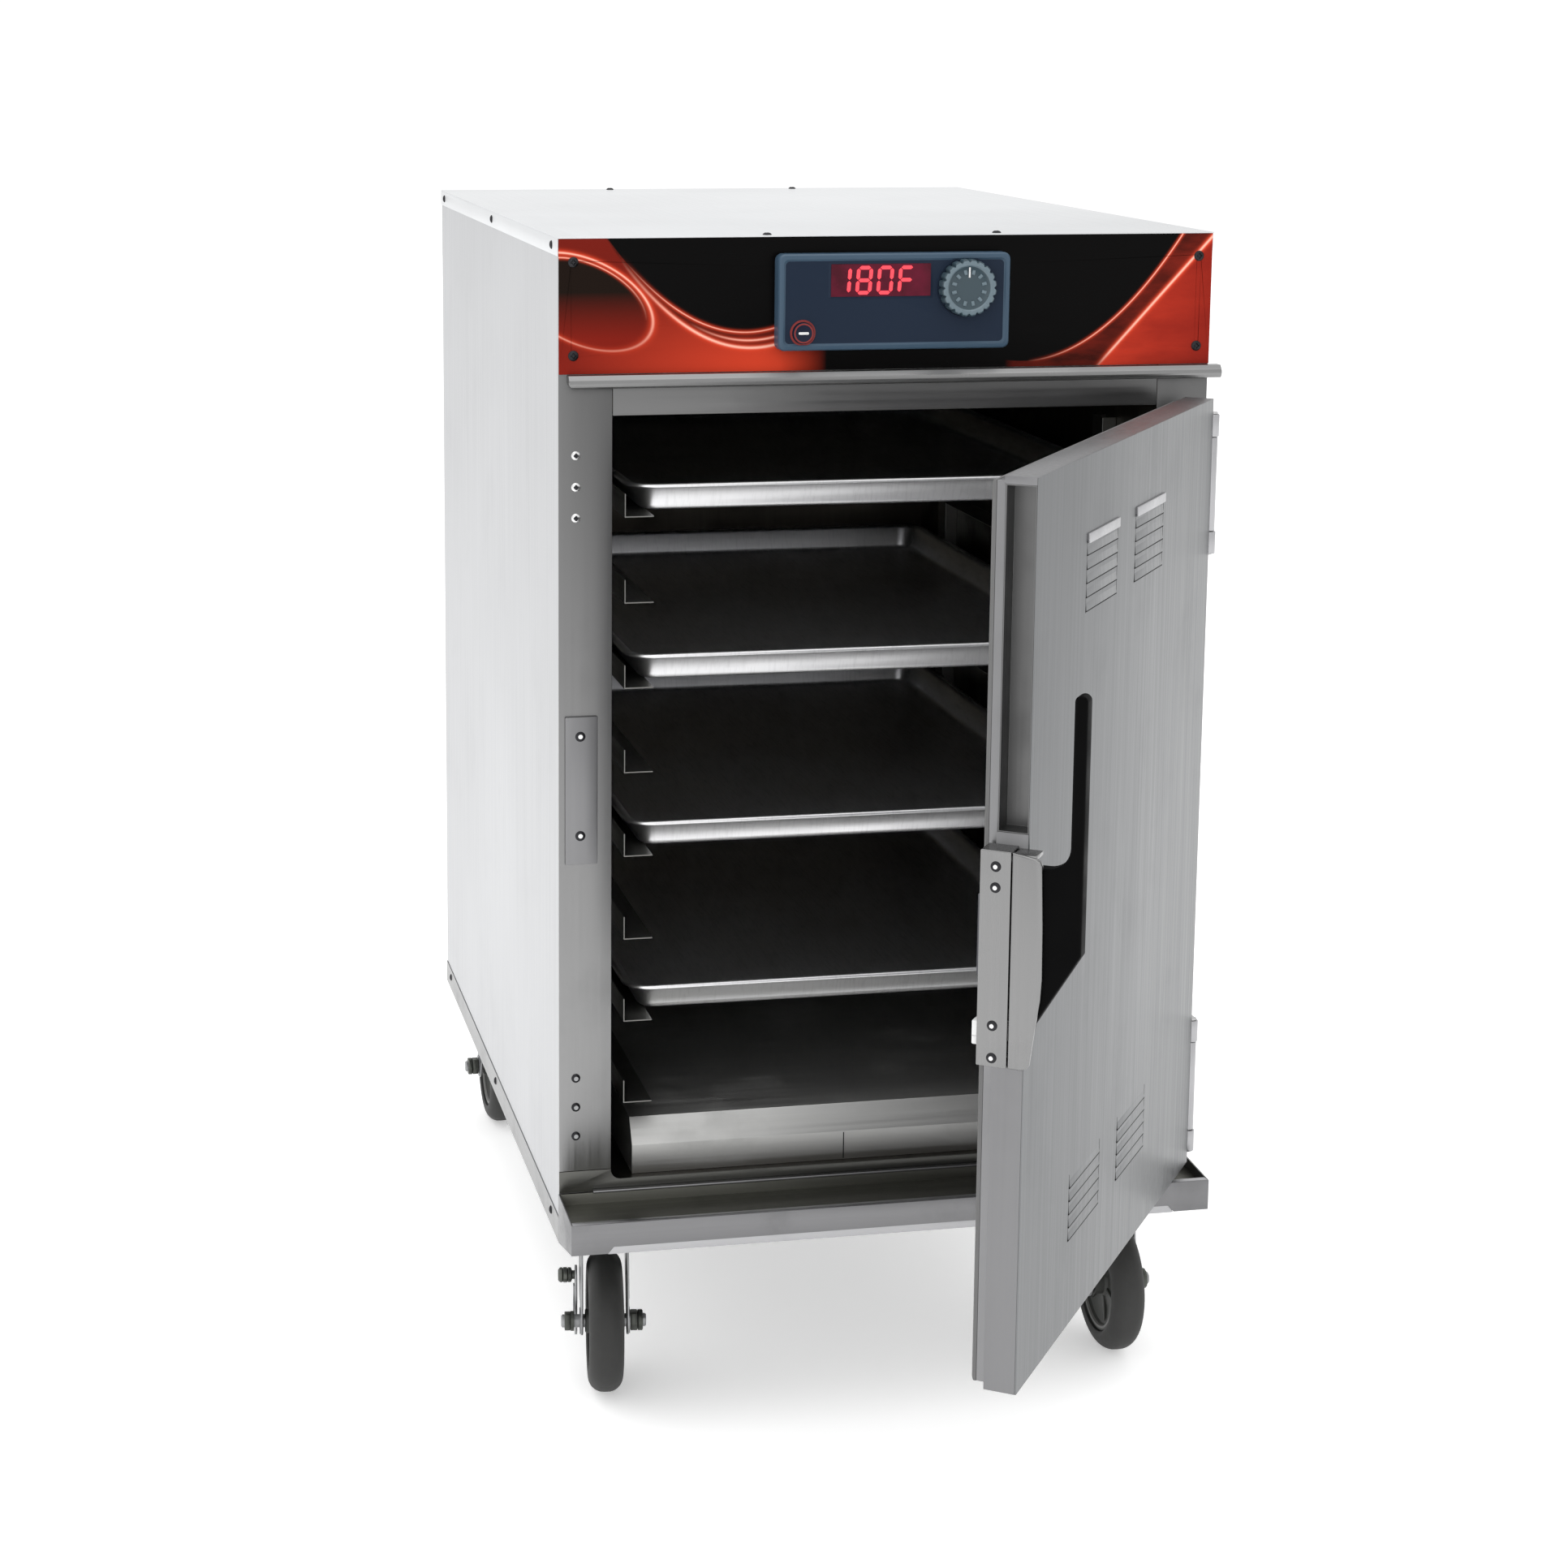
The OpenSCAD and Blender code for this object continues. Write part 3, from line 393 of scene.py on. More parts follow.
DARK_ZINC = polished("worn_nut", (0.10, 0.105, 0.095), 0.30, 0.6)
BLACK_SCREW = polished("blackened_screw", (0.035, 0.035, 0.038), 0.34)
# A pale plated look, used only as a painted highlight on screws.
SCREW_HIGHLIGHT = polished("painted_screw_highlight", (0.75, 0.75, 0.75), 0.2, 0.2)
SHEATH = polished("element_sheath", (0.16, 0.14, 0.12), 0.5)
IRON = polished("magnet_iron", (0.10, 0.10, 0.11), 0.45)
SHADOW_GAP = plastic("dark_gap", (0.010, 0.010, 0.010), 0.6, 900.0, 0.1, 0.02, 0.1)
BLACK_NYLON = plastic("handle_nylon", (0.0012, 0.0012, 0.0013), 0.55, 900.0, 0.25, 0.01, 0.04)
BLACK_PLASTIC = plastic("gland_nylon", (0.012, 0.012, 0.013))
HOUSING = plastic("housing_face", (0.012, 0.021, 0.040), 0.40, 900.0, 0.10, 0.01, 0.12)
HOUSING_RIM = plastic("housing_rim", (0.042, 0.078, 0.120), 0.36, 900.0, 0.10, 0.02, 0.3)
KNOB = plastic("knob_plastic", (0.035, 0.060, 0.075), 0.32, 260.0, 0.3, 0.05, 0.4)
KNOB_LIGHT = plastic("knob_highlight", (0.12, 0.17, 0.20), 0.28, 260.0, 0.3, 0.2, 0.5)
BUTTON = plastic("button_navy", (0.006, 0.010, 0.026), 0.3, 900.0, 0.1, 0.01, 0.2)
RED_RING = plastic("button_ring", (0.22, 0.030, 0.028), 0.35, 900.0, 0.1, 0.05, 0.2)
WHITE_MARK = plastic("white_mark", (0.75, 0.75, 0.75), 0.4, 900.0, 0.1)
CORE = plastic("wheel_core_nylon", (0.036, 0.038, 0.034), 0.5, 300.0, 0.3, 0.1)
CORE_RING = plastic("wheel_core_ring", (0.12, 0.12, 0.115), 0.45, 300.0, 0.3, 0.1)
TYRE = rubber("tyre_rubber", (0.030, 0.030, 0.029))
SEAL = rubber("seal_silicone", (0.13, 0.13, 0.13))
GREY_PLASTIC = plastic("component_plastic", (0.16, 0.16, 0.18))
WOOL = wool("glass_wool")
BOARD = circuit("circuit_board")
PRINT = fascia_print("fascia_print")
LIT = lamp_red("lit_segment")
WINDOW = display_glass("display_glass")


# ---- mesh helpers
def finish_mesh(name, bm, materials, replaced=None, smooth_deg=35, body="cabinet", space=CABINET):
    """Turns a bmesh in local millimetres into a piece that rides on a body and stands for a CAD node."""
    bmesh.ops.recalc_face_normals(bm, faces=bm.faces)
    bm.transform(space @ Matrix.Scale(MM, 4))
    mesh = bpy.data.meshes.new(name)
    bm.to_mesh(mesh)
    bm.free()
    for material in materials:
        mesh.materials.append(material)
    mesh.polygons.foreach_set("use_smooth", [True] * len(mesh.polygons))
    mesh.set_sharp_from_angle(angle=radians(smooth_deg))
    piece = bpy.data.objects.new(name, mesh)
    bpy.context.scene.collection.objects.link(piece)
    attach(piece, body)
    if replaced:
        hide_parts(replaced)


def bevel_edges(bm, edges, width, segments=2):
    bmesh.ops.bevel(bm, geom=edges, offset=width, offset_type="OFFSET", segments=segments, profile=0.5,
        affect="EDGES", clamp_overlap=True)


def bevel_sharp(bm, width):
    """Rounds the edges of a bmesh that turn by more than 30 degrees."""
    edges = [e for e in bm.edges if e.is_manifold and e.calc_face_angle(0) > radians(30)]
    if edges and width:
        bevel_edges(bm, edges, width)


def skin(bm, rings, closed=False, index=0):
    """Faces between rings of points. Rings have one length, except that an end may be a single point."""
    rings = [[bm.verts.new(point) for point in ring] for ring in rings]
    steps = max(len(ring) for ring in rings)
    for a, b in list(zip(rings, rings[1:])) + ([(rings[-1], rings[0])] if closed else []):
        for k in range(steps):
            m = (k + 1) % steps
            corners = list(dict.fromkeys((a[k % len(a)], a[m % len(a)], b[m % len(b)], b[k % len(b)])))
            if len(corners) > 2:
                bm.faces.new(corners).material_index = index
    return rings


def circle(radius, count):
    return [(radius * cos(2 * pi * k / count), radius * sin(2 * pi * k / count)) for k in range(count)]


def box(bm, low, high, bevel=0.6, index=0):
    """A bevelled block."""
    part = bmesh.new()
    bmesh.ops.create_cube(part, size=1.0)
    low, high = Vector(low), Vector(high)
    size = high - low
    part.transform(Matrix.Translation((low + high) / 2) @ Matrix.Diagonal((*size, 1)))
    bevel_sharp(part, min(bevel, min(size) * 0.3))
    merge(bm, part, index)


def merge(bm, part, index=0):
    """Moves a bmesh's faces into another, with a material index."""
    for face in part.faces:
        face.material_index = index
    mesh = bpy.data.meshes.new("scratch")
    part.to_mesh(mesh)
    part.free()
    bm.from_mesh(mesh)
    bpy.data.meshes.remove(mesh)


# Turns a shape made along z to lie along another axis
AXES = {
    "x": Matrix(((0, 0, 1, 0), (1, 0, 0, 0), (0, 1, 0, 0), (0, 0, 0, 1))),
    "y": Matrix(((1, 0, 0, 0), (0, 0, 1, 0), (0, 1, 0, 0), (0, 0, 0, 1))),
    "z": Matrix.Identity(4),
}


def prism(bm, outline, axis, start, end, bevel=0.6, index=0):
    """An outline extruded along an axis: (y, z) along x, (x, z) along y, (x, y) along z."""
    part = bmesh.new()
    bottom, top = skin(part, [[(u, v, along) for u, v in outline] for along in sorted((start, end))])
    part.faces.new(bottom)
    part.faces.new(top)
    part.transform(AXES[axis])
    bmesh.ops.recalc_face_normals(part, faces=part.faces)
    bevel_sharp(part, bevel)
    merge(bm, part, index)


def lathe(bm, profile, centre, axis, steps=48, index=0, closed=False):
    """A profile of (radius, height along the axis) turned about an axis through centre."""
    part = bmesh.new()
    rings = [[(x, y, along) for x, y in circle(radius, steps if radius else 1)] for radius, along in profile]
    skin(part, rings, closed)
    part.transform(Matrix.Translation(centre) @ AXES[axis])
    merge(bm, part, index)


def arc(cx, cy, radius, start, end, count):
    """Points of an arc between two angles in degrees, both ends included."""
    return [(cx + radius * cos(radians(start + (end - start) * i / count)),
        cy + radius * sin(radians(start + (end - start) * i / count))) for i in range(count + 1)]


def rounded_rect(x0, x1, y0, y1, r, count=6):
    return (arc(x1 - r, y1 - r, r, 0, 90, count) + arc(x0 + r, y1 - r, r, 90, 180, count)
        + arc(x0 + r, y0 + r, r, 180, 270, count) + arc(x1 - r, y0 + r, r, 270, 360, count))


def screw(bm, centre, axis, radius, height, sign=1, index=0):
    """A domed head with a cross recess; it rises by height along sign times the axis."""
    part = bmesh.new()
    steps, rings = 32, 9
    slot_w, slot_r, slot_d = radius * 0.17, radius * 0.55, height * 0.45
    grid = [[(0, 0, height - slot_d)]]
    for i in range(1, rings + 1):
        share = i / rings
        ring = []
        for x, y in circle(radius * share, steps):
            dome = height * (1 - 0.75 * share ** 3.2)
            if share * radius < slot_r and min(abs(x), abs(y)) < slot_w:
                dome -= slot_d
            ring.append((x, y, dome if i < rings else height * 0.2))
        grid.append(ring)
    skin(part, grid + [[(x, y, 0) for x, y, z in grid[-1]]])
    part.transform(Matrix.Translation(centre) @ AXES[axis] @ Matrix.Diagonal((1, 1, sign, 1)))
    merge(bm, part, index)


def glint(bm, centre, axis, radius, front, back, index):
    """The middle of a screw's recess, as a shallow cup; in a pale material it is a painted highlight."""
    lathe(bm, [(0, front), (radius, front), (radius, back)], centre, axis, 24, index)


def nut(bm, centre, axis, radius, start, end, index=0, sides=6):
    """A chamfered nut or bolt head."""
    part = bmesh.new()
    prism(part, circle(radius, sides), "z", start, end, radius * 0.09)
    part.transform(Matrix.Translation(centre) @ AXES[axis])
    merge(bm, part, index)


def dress(node, material, bevel=0.0):
    """Gives a CAD node its material and, where it helps, soft edges."""
    target = nodes[node]
    target.data.materials.clear()
    target.data.materials.append(material)
    if bevel:
        weld = target.modifiers.new("weld", "WELD")
        weld.merge_threshold = 0.00002
        soft = target.modifiers.new("soft_edges", "BEVEL")
        soft.width = bevel * MM
        soft.segments = 2
        soft.limit_method = "ANGLE"
        soft.angle_limit = radians(40)
        soft.use_clamp_overlap = True
        soft.harden_normals = True


# ---- cabinet shells
def dress_shells():
    dress("base_frame", STEEL["base"], 0.6)
    dress("left_side_panel", STEEL["side"])
    dress("right_side_panel", STEEL["side"])
    dress("back_panel", STEEL["back"])
    dress("canopy", STEEL["canopy"], 0.3)
    dress("control_fascia", PRINT, 0.3)
    dress("compartment_floor", STEEL["inner"])
    # The liner takes a near-black tone of the steel: painted shade inside the cabinet.
    dress("cabinet_liner", STEEL["liner"])
    dress("wall_insulation", WOOL)
    dress("rack_posts", STEEL["slide"], 0.5)
    dress("pan_slides", STEEL["slide"], 0.3)
    dress("hinge_brackets", STEEL["lip"], 0.8)
    dress("hinge_pins", CHROME, 0.4)
    dress("heating_element", SHEATH)
    dress("temperature_probe", CHROME, 0.3)
    dress("control_board", BOARD)
    dress("relay_box", GREY_PLASTIC, 1.5)
    dress("display_window", WINDOW)


def top_cover():
    """Flat lid with a short fold down each side and the back."""
    bm = bmesh.new()
    low, high = node_box("top_cover")
    fold = low.z
    box(bm, (low.x, low.y, high.z - 1), high, 0.35)
    for side in (-1, 1):
        x = sorted((side * HALF_W, side * (HALF_W - 1)))
        box(bm, (x[0], 0, fold), (x[1], high.y, high.z - 1), 0.2)
    box(bm, (-HALF_W + 1, high.y - 1, fold), (HALF_W - 1, high.y, high.z - 1), 0.2)
    finish_mesh("top_lid", bm, [STEEL["top"]], "top_cover")


def front_shelf():
    """Trough with tapered ends; its face is cut back between them and shows the stiffening lip below."""
    bm = bmesh.new()
    low, high = node_box("front_shelf")
    out, floor, rim, face_low, face_high, inset = low.y, 192, 200, 172, 178, 33
    face = [(-HALF_W, rim), (-HALF_W, face_low), (-HALF_W + inset, face_low),
        (-HALF_W + inset + 5, face_high)]
    # The face and end plates take the shelf steel. The hem along the rim and the stiffening lip below take
    # the lighter lip steel, a painted highlight; the floor and the back plate take the darker trough steel,
    # painted shade.
    prism(bm, face + [(-x, z) for x, z in reversed(face)], "y", out, out + 1.5, 0.4, 0)
    box(bm, (-HALF_W + 0.4, out + 1.5, rim - 1.5), (HALF_W - 0.4, out + 8, rim), 0.5, 2)
    box(bm, (-HALF_W + 1.5, out + 1.5, floor - 1.5), (HALF_W - 1.5, high.y, floor), 0.3, 1)
    end = [(high.y, low.z), (high.y, high.z), (out + 1.5, rim), (out + 1.5, face_low)]
    for x in (-HALF_W, HALF_W - 1.5):
        prism(bm, end, "x", x, x + 1.5, 0.3, 0)
    box(bm, (-HALF_W + 1.5, high.y - 2, low.z), (HALF_W - 1.5, high.y, high.z - 0.2), 0.3, 1)
    lip = HALF_W - inset
    prism(bm, [(-lip, face_low - 1), (-lip + 6, face_high + 4), (lip - 6, face_high + 4),
        (lip, face_low - 1)], "y", out + 1.5, out + 3, 0.3, 3)
    box(bm, (-lip, out + 3, face_low - 1), (lip, out + 14, face_low + 0.5), 0.4, 3)
    finish_mesh("shelf_sheet", bm, [STEEL["shelf"], STEEL["trough"], STEEL["lip"], STEEL["lip"]],
        "front_shelf")


def strike_plate():
    """Plate for the magnet with two pan-head screws."""
    bm = bmesh.new()
    low, high = node_box("strike_plate")
    face = low.y + 1
    box(bm, (low.x, face, low.z), (high.x, 0, high.z), 0.8)
    for z in (623, 533.5):
        screw(bm, (-275.5, face, z), "y", 4.5, 1.0, -1, 1)
        # Painted highlight: a pale cup in the middle of the recess.
        glint(bm, (-275.5, face, z), "y", 2.0, -0.98, -0.6, 2)
    finish_mesh("strike_sheet", bm, [STEEL["strike"], BLACK_SCREW, SCREW_HIGHLIGHT],
        "strike_plate")


SEAM_Z = node_box("front_frame")[0].z + 20.5
OPEN_X = 247
OPEN_BOTTOM = 213
OPEN_TOP = 904.5
CORNER_R = 9
FRAME_X = 294


def front_frame():
    """Two stiles, a top rail and a lower rail whose upturned ends round the opening's lower corners."""
    bm = bmesh.new()
    stile_top = node_box("front_frame")[1].z
    for side in (-1, 1):
        inner, outer = side * OPEN_X, side * FRAME_X
        box(bm, (min(inner, outer), 0, SEAM_Z), (max(inner, outer), 2, stile_top), 0.7)
    # The top rail and the lower rail take darker tones of the stile steel: painted shade.
    box(bm, (-OPEN_X + 0.3, 0, OPEN_TOP), (OPEN_X - 0.3, 2, 940), 0.7, 1)
    left = arc(-OPEN_X + CORNER_R, OPEN_BOTTOM + CORNER_R, CORNER_R, 270, 180, 8)
    right = [(-x, z) for x, z in reversed(left)]
    rail = [(-FRAME_X, 202.7), (FRAME_X, 202.7), (FRAME_X, SEAM_Z - 0.4), (OPEN_X, SEAM_Z - 0.4)]
    prism(bm, rail + right + left + [(-OPEN_X, SEAM_Z - 0.4), (-FRAME_X, SEAM_Z - 0.4)], "y", 0.2, 2,
        0.3, 2)
    # Rounded nose of the sill lip, with clipped ends
    nose = [(-0.3, 202.6), (-0.3, 205)] + arc(-4.6, 203.8, 1.2, 90, 270, 8)
    prism(bm, nose, "x", -264, 264, 0.2, 3)
    finish_mesh("front_frame_sheet", bm, [STEEL["frame"], STEEL["rail"], STEEL["sill"], STEEL["shelf"]],
        "front_frame")


def cabinet_fasteners():
    """Fascia, cover, strip and spare-hinge screws, each with a cross recess."""
    bm = bmesh.new()
    for x in (-281.5, 281.5):
        for z in (1037, 957):
            screw(bm, (x, -1.5, z), "y", 4.5, 2.0, -1)
    for z in (870.5, 843, 816, 310, 283, 256):
        # The upper three heads are pale round a dark cup and the lower three dark round a pale zinc cup: the
        # pale parts are painted highlights.
        screw(bm, (-279, 0, z), "y", 4.0, 1.8, -1, 1 if z > 500 else 0)
        glint(bm, (-279, 0, z), "y", 2.0, -1.75, -1.2, 0 if z > 500 else 2)
    for x in (-109, 98):
        for y in (12, BODY_D - 14):
            screw(bm, (x, y, LID_Z), "z", 4.0, 2.0, 1)
    for side in (-1, 1):
        for y in (30, 390, 750):
            screw(bm, (side * HALF_W, y, 1050), "x", 3.8, 1.8, side)
        for y in (40, 390, 740):
            screw(bm, (side * HALF_W, y, 172), "x", 3.8, 1.8, side)
    finish_mesh("cabinet_screw_heads", bm, [BLACK_SCREW, SCREW_HIGHLIGHT, ZINC],
        "cabinet_screws")


def heater_cover():
    """Folded cover with sloping shoulders; the lap of its two halves shows as a line on the front."""
    bm = bmesh.new()
    low, high = node_box("heater_cover")
    seam_x, sheet, shoulder, slope = -26, 1.2, high.z - 22, 14
    front, back, bottom, top = low.y, high.y, low.z, high.z
    outer = [(front, bottom), (front, shoulder), (front + slope, top), (back - slope, top),
        (back, shoulder), (back, bottom)]
    inner = [(back - sheet, bottom), (back - sheet, shoulder - 0.4), (back - slope - 0.6, top - sheet),
        (front + slope + 0.6, top - sheet), (front + sheet, shoulder - 0.4), (front + sheet, bottom)]
    prism(bm, outer + inner, "x", low.x, high.x, 0.25)
    for x in (low.x, high.x - 1.0):
        end = [(front + 0.6, bottom), (front + 0.6, shoulder), (front + slope, top - 0.4),
            (back - slope, top - 0.4), (back - 0.6, shoulder), (back - 0.6, bottom)]
        prism(bm, end, "x", x, x + 1.0, 0.2)
    box(bm, (seam_x - 0.5, front - 0.05, bottom + 1), (seam_x + 0.5, front + 0.4, shoulder - 1), 0, 1)
    finish_mesh("heater_cover_sheet", bm, [STEEL["heater"], SHADOW_GAP], "heater_cover")


# ---- controls
box_low, box_high = node_box("controller_housing")
window_low, window_high = node_box("display_window")
knob_low, knob_high = node_box("control_knob")
button_low, button_high = node_box("power_button")
KNOB_X, KNOB_Z = (knob_low.x + knob_high.x) / 2, (knob_low.z + knob_high.z) / 2
BUTTON_X, BUTTON_Z = (button_low.x + button_high.x) / 2, (button_low.z + button_high.z) / 2


def controller_housing():
    """Moulded housing: soft outer edge, lighter raised rim, flat face with a window frame."""
    bm = bmesh.new()
    x0, x1, z0, z1 = box_low.x, box_high.x, box_low.z, box_high.z
    front, back = box_low.y, box_high.y

    def outline(inset, r):
        return rounded_rect(x0 + inset, x1 - inset, z0 + inset, z1 - inset, r)

    profile = [(0.0, back, 6), (0.0, front + 3.2, 6), (0.35, front + 1.7, 5.8), (1.2, front + 0.5, 5.4),
        (2.4, front, 5), (4.6, front, 4.4), (5.6, front + 0.9, 4), (6.2, front + 1.1, 3.8)]
    face_y = front + 1.1
    rings = skin(bm, [[(x, y, z) for x, z in outline(inset, r)] for inset, y, r in profile])
    bm.faces.new(rings[-1]).material_index = 1
    wx0, wx1, wz0, wz1 = window_low.x, window_high.x, window_low.z, window_high.z
    bezel_out = rounded_rect(wx0 - 2.2, wx1 + 2.2, wz0 - 2.2, wz1 + 2.2, 2.2)
    bezel_in = rounded_rect(wx0 - 0.2, wx1 + 0.2, wz0 - 0.2, wz1 + 0.2, 0.8)
    bezel = (bezel_out, face_y - 0.05), (bezel_in, face_y - 0.45), (bezel_in, face_y + 0.4)
    for step in zip(bezel, bezel[1:]):
        skin(bm, [[(x, y, z) for x, z in points] for points, y in step], index=1)
    # Collars round the knob and the button
    knob_collar = [(27.2, 0), (26.9, -0.55), (25.6, -0.55), (25.3, 0)]
    lathe(bm, knob_collar, (KNOB_X, face_y, KNOB_Z), "y", 72, 1)
    button_collar = [(11.4, 0), (11.1, -0.6), (9.6, -0.6), (9.4, 0.4)]
    lathe(bm, button_collar, (BUTTON_X, face_y, BUTTON_Z), "y", 48, 2)
    finish_mesh("controller_case", bm, [HOUSING_RIM, HOUSING, RED_RING],
        "controller_housing", 28)


SEGMENTS = {"1": "bc", "8": "abcdefg", "0": "abcdef", "F": "aefg"}


def display_digits():
    """Lit seven-segment reading."""
    bm = bmesh.new()
    tall, wide, thick, lean = 21.6, 11.2, 3.2, 0.07
    y = window_low.y - 0.12
    mid_z = (window_low.z + window_high.z) / 2
    # Each bar's side, -1 left to 1 right, and its level in quarters of the height from the middle
    bars = {"a": (0, 2), "g": (0, 0), "d": (0, -2), "f": (-1, 1), "b": (1, 1), "e": (-1, -1), "c": (1, -1)}

    def bar(cx, cz, half_x, half_z):
        tip = min(half_x, half_z)
        if half_x > half_z:
            points = [(-half_x, 0), (-half_x + tip, tip), (half_x - tip, tip), (half_x, 0),
                (half_x - tip, -tip), (-half_x + tip, -tip)]
        else:
            points = [(0, -half_z), (tip, -half_z + tip), (tip, half_z - tip), (0, half_z),
                (-tip, half_z - tip), (-tip, -half_z + tip)]
        outline = [(cx + px + (cz + pz - mid_z) * lean, cz + pz) for px, pz in points]
        prism(bm, outline, "y", y, y + 0.1, 0)

    for place, digit in enumerate("180F"):
        cx = window_low.x + 10.6 + place * 18.8
        for name in SEGMENTS[digit]:
            side, level = bars[name]
            halves = (thick / 2, tall / 4 - 0.5) if side else (wide / 2 - 0.5, thick / 2)
            bar(cx + side * wide / 2, mid_z + level * tall / 4, *halves)
    finish_mesh("display_numerals", bm, [LIT])


def control_knob():
    """Deeply notched rim round a dished face with a pointer groove."""
    bm = bmesh.new()
    front = knob_low.y
    depth = 11.0
    radius = (knob_high.x - knob_low.x) / 2
    steps, notches = 240, 20
    profile = [(1.0, depth), (1.0, 2.2), (0.985, 0.9), (0.95, 0.2), (0.90, 0.0), (0.80, 0.0), (0.755, 0.9),
        (0.72, 1.5), (0.45, 2.3), (0.2, 2.6)]
    rings = []
    for share, along in profile:
        ring = []
        for k in range(steps):
            angle = 2 * pi * k / steps
            wave = max(0.0, cos(angle * notches)) ** 1.6
            r = radius * (share - 0.085 * wave * max(0.0, (share - 0.80) / 0.20))
            ring.append((KNOB_X + r * cos(angle), front + along, KNOB_Z + r * sin(angle)))
        rings.append(ring)
    rings = skin(bm, rings + [[(KNOB_X, front + 2.7, KNOB_Z)]])
    # Painted highlight: the band across the rim's front takes the lighter plastic.
    for face in list(bm.faces)[3 * steps:6 * steps]:
        face.material_index = 1
    bm.faces.new(rings[0])
    # Pointer and a ring of raised ticks on the dished face; the ticks take the lighter plastic, a painted
    # highlight too.
    box(bm, (KNOB_X - 0.7, front + 0.9, KNOB_Z + 9), (KNOB_X + 0.7, front + 2.6, KNOB_Z + 18), 0.3, 2)
    for k in range(12):
        angle = radians(30 * k + 15)
        part = bmesh.new()
        box(part, (-1.4, front + 1.2, 11.8), (1.4, front + 2.3, 16.0), 0.4)
        part.transform(Matrix.Translation((KNOB_X, 0, KNOB_Z)) @ Matrix.Rotation(angle, 4, "Y"))
        merge(bm, part, 1)
    lathe(bm, [(3.0, 0), (3.0, 8.0), (0, 8.0)], (KNOB_X, front + depth, KNOB_Z), "y", 32, 0)
    finish_mesh("knob_cap", bm, [KNOB, KNOB_LIGHT, WHITE_MARK], "control_knob", 30,
        body="knob")


def power_button():
    """Dished navy cap with a red edge and a white bar."""
    bm = bmesh.new()
    y = button_low.y
    radius = (button_high.x - button_low.x) / 2
    centre = (BUTTON_X, y, BUTTON_Z)
    lathe(bm, [(radius - 1, button_high.y - y), (radius - 1, 1.0), (radius, 0.9), (radius, 0.4),
        (radius - 0.4, 0.05)], centre, "y", 64, 0)
    lathe(bm, [(radius - 0.4, 0.05), (radius - 0.9, 0.0), (radius - 1.7, 0.12)], centre, "y", 64, 1)
    lathe(bm, [(radius - 1.7, 0.12), (radius * 0.45, 0.42), (0, 0.5)], centre, "y", 64, 0)
    prism(bm, rounded_rect(BUTTON_X - 4.6, BUTTON_X + 4.6, BUTTON_Z - 1.1, BUTTON_Z + 1.1, 1.0), "y",
        y + 0.05, y + 0.5, 0.1, 2)
    finish_mesh("button_cap", bm, [BUTTON, RED_RING, WHITE_MARK], "power_button", 30,
        body="button")


def cord_gland():
    """Ribbed gland body, hexagon flange and lock nut; its bore is open."""
    bm = bmesh.new()
    low, high = node_box("cord_gland")
    x, z = (low.x + high.x) / 2, (low.z + high.z) / 2
    bore = 5.0
    lathe(bm, [(bore, low.y), (8, low.y), (8, high.y - 6), (10.5, high.y - 5.5), (10.8, high.y - 2),
        (8.2, high.y), (bore + 0.6, high.y), (bore, high.y - 1)], (x, 0, z), "y", 48, 0, True)
    for start in (BODY_D - 1, BODY_D - 9):
        nut(bm, (x, 0, z), "y", 12.6, start, start + 6.5, 0)
    finish_mesh("cord_gland_body", bm, [BLACK_PLASTIC], "cord_gland")


# ---- sheet pans
def pan_cap(ring, height, steps):
    """Smaller copies of a ring that rise to a crown, down to its middle point."""
    level = ring[0][2]
    rows = []
    for i in range(1, steps):
        share, rise = 1 - i / steps, height * sin(pi * i / steps / 2)
        rows.append([(x * share, y * share, level + rise) for x, y, z in ring])
    return rows + [[(0, 0, level + height)]]


def sheet_pan(number):
    """Pressed pan: rolled bead, flared wall, soft bottom corner and a slightly crowned floor."""
    node = f"sheet_pan_{number}"
    low, high = node_box(node)
    half_x, half_y = (high.x - low.x) / 2, (high.y - low.y) / 2
    middle = Vector(((low.x + high.x) / 2, (low.y + high.y) / 2, low.z))
    tall = high.z - low.z
    wall = 1.0
    # (inset from the rim, height) up the outside, over the bead and down the inside
    outside = [(20.5, 0.0), (17.5, 0.5), (15.3, 2.2), (14.2, 5.0), (8.4, tall - 4.6), (6.0, tall - 3.4)]
    bead = [(4.2, tall - 3.6)] + [(2.2 - 2.2 * sin(radians(t)), tall - 2.1 - 2.1 * cos(radians(t)))
        for t in (10, 50, 90, 130, 170)] + [(4.6, tall - 0.1), (7.6, tall - 1.0)]
    inside = [(9.6, tall - 3.2), (15.2, 5.2), (16.2, 3.0), (18.2, wall + 0.5), (21.0, wall)]
    rings = []
    for inset, z in outside + bead + inside:
        corner = rounded_rect(inset - half_x, half_x - inset, inset - half_y, half_y - inset,
            max(6.0, 26 - inset * 0.75), 8)
        rings.append([(x, y, z) for x, y in corner])
    bm = bmesh.new()
    skin(bm, pan_cap(rings[0], 0, 2)[::-1] + rings + pan_cap(rings[-1], 0.5, 5))
    finish_mesh(f"pan_{number}_pressing", bm, [ALUMINIUM], node, 50, body=f"pan_{number}",
        space=CABINET @ Matrix.Translation(middle * MM))


# ---- door
door_low, door_high = node_box("door_shell", DOOR)
gasket_low, gasket_high = node_box("door_gasket", DOOR)
# The louvres stand 2.2 mm proud of the outer face
DOOR_FACE = door_low.y + 2.2


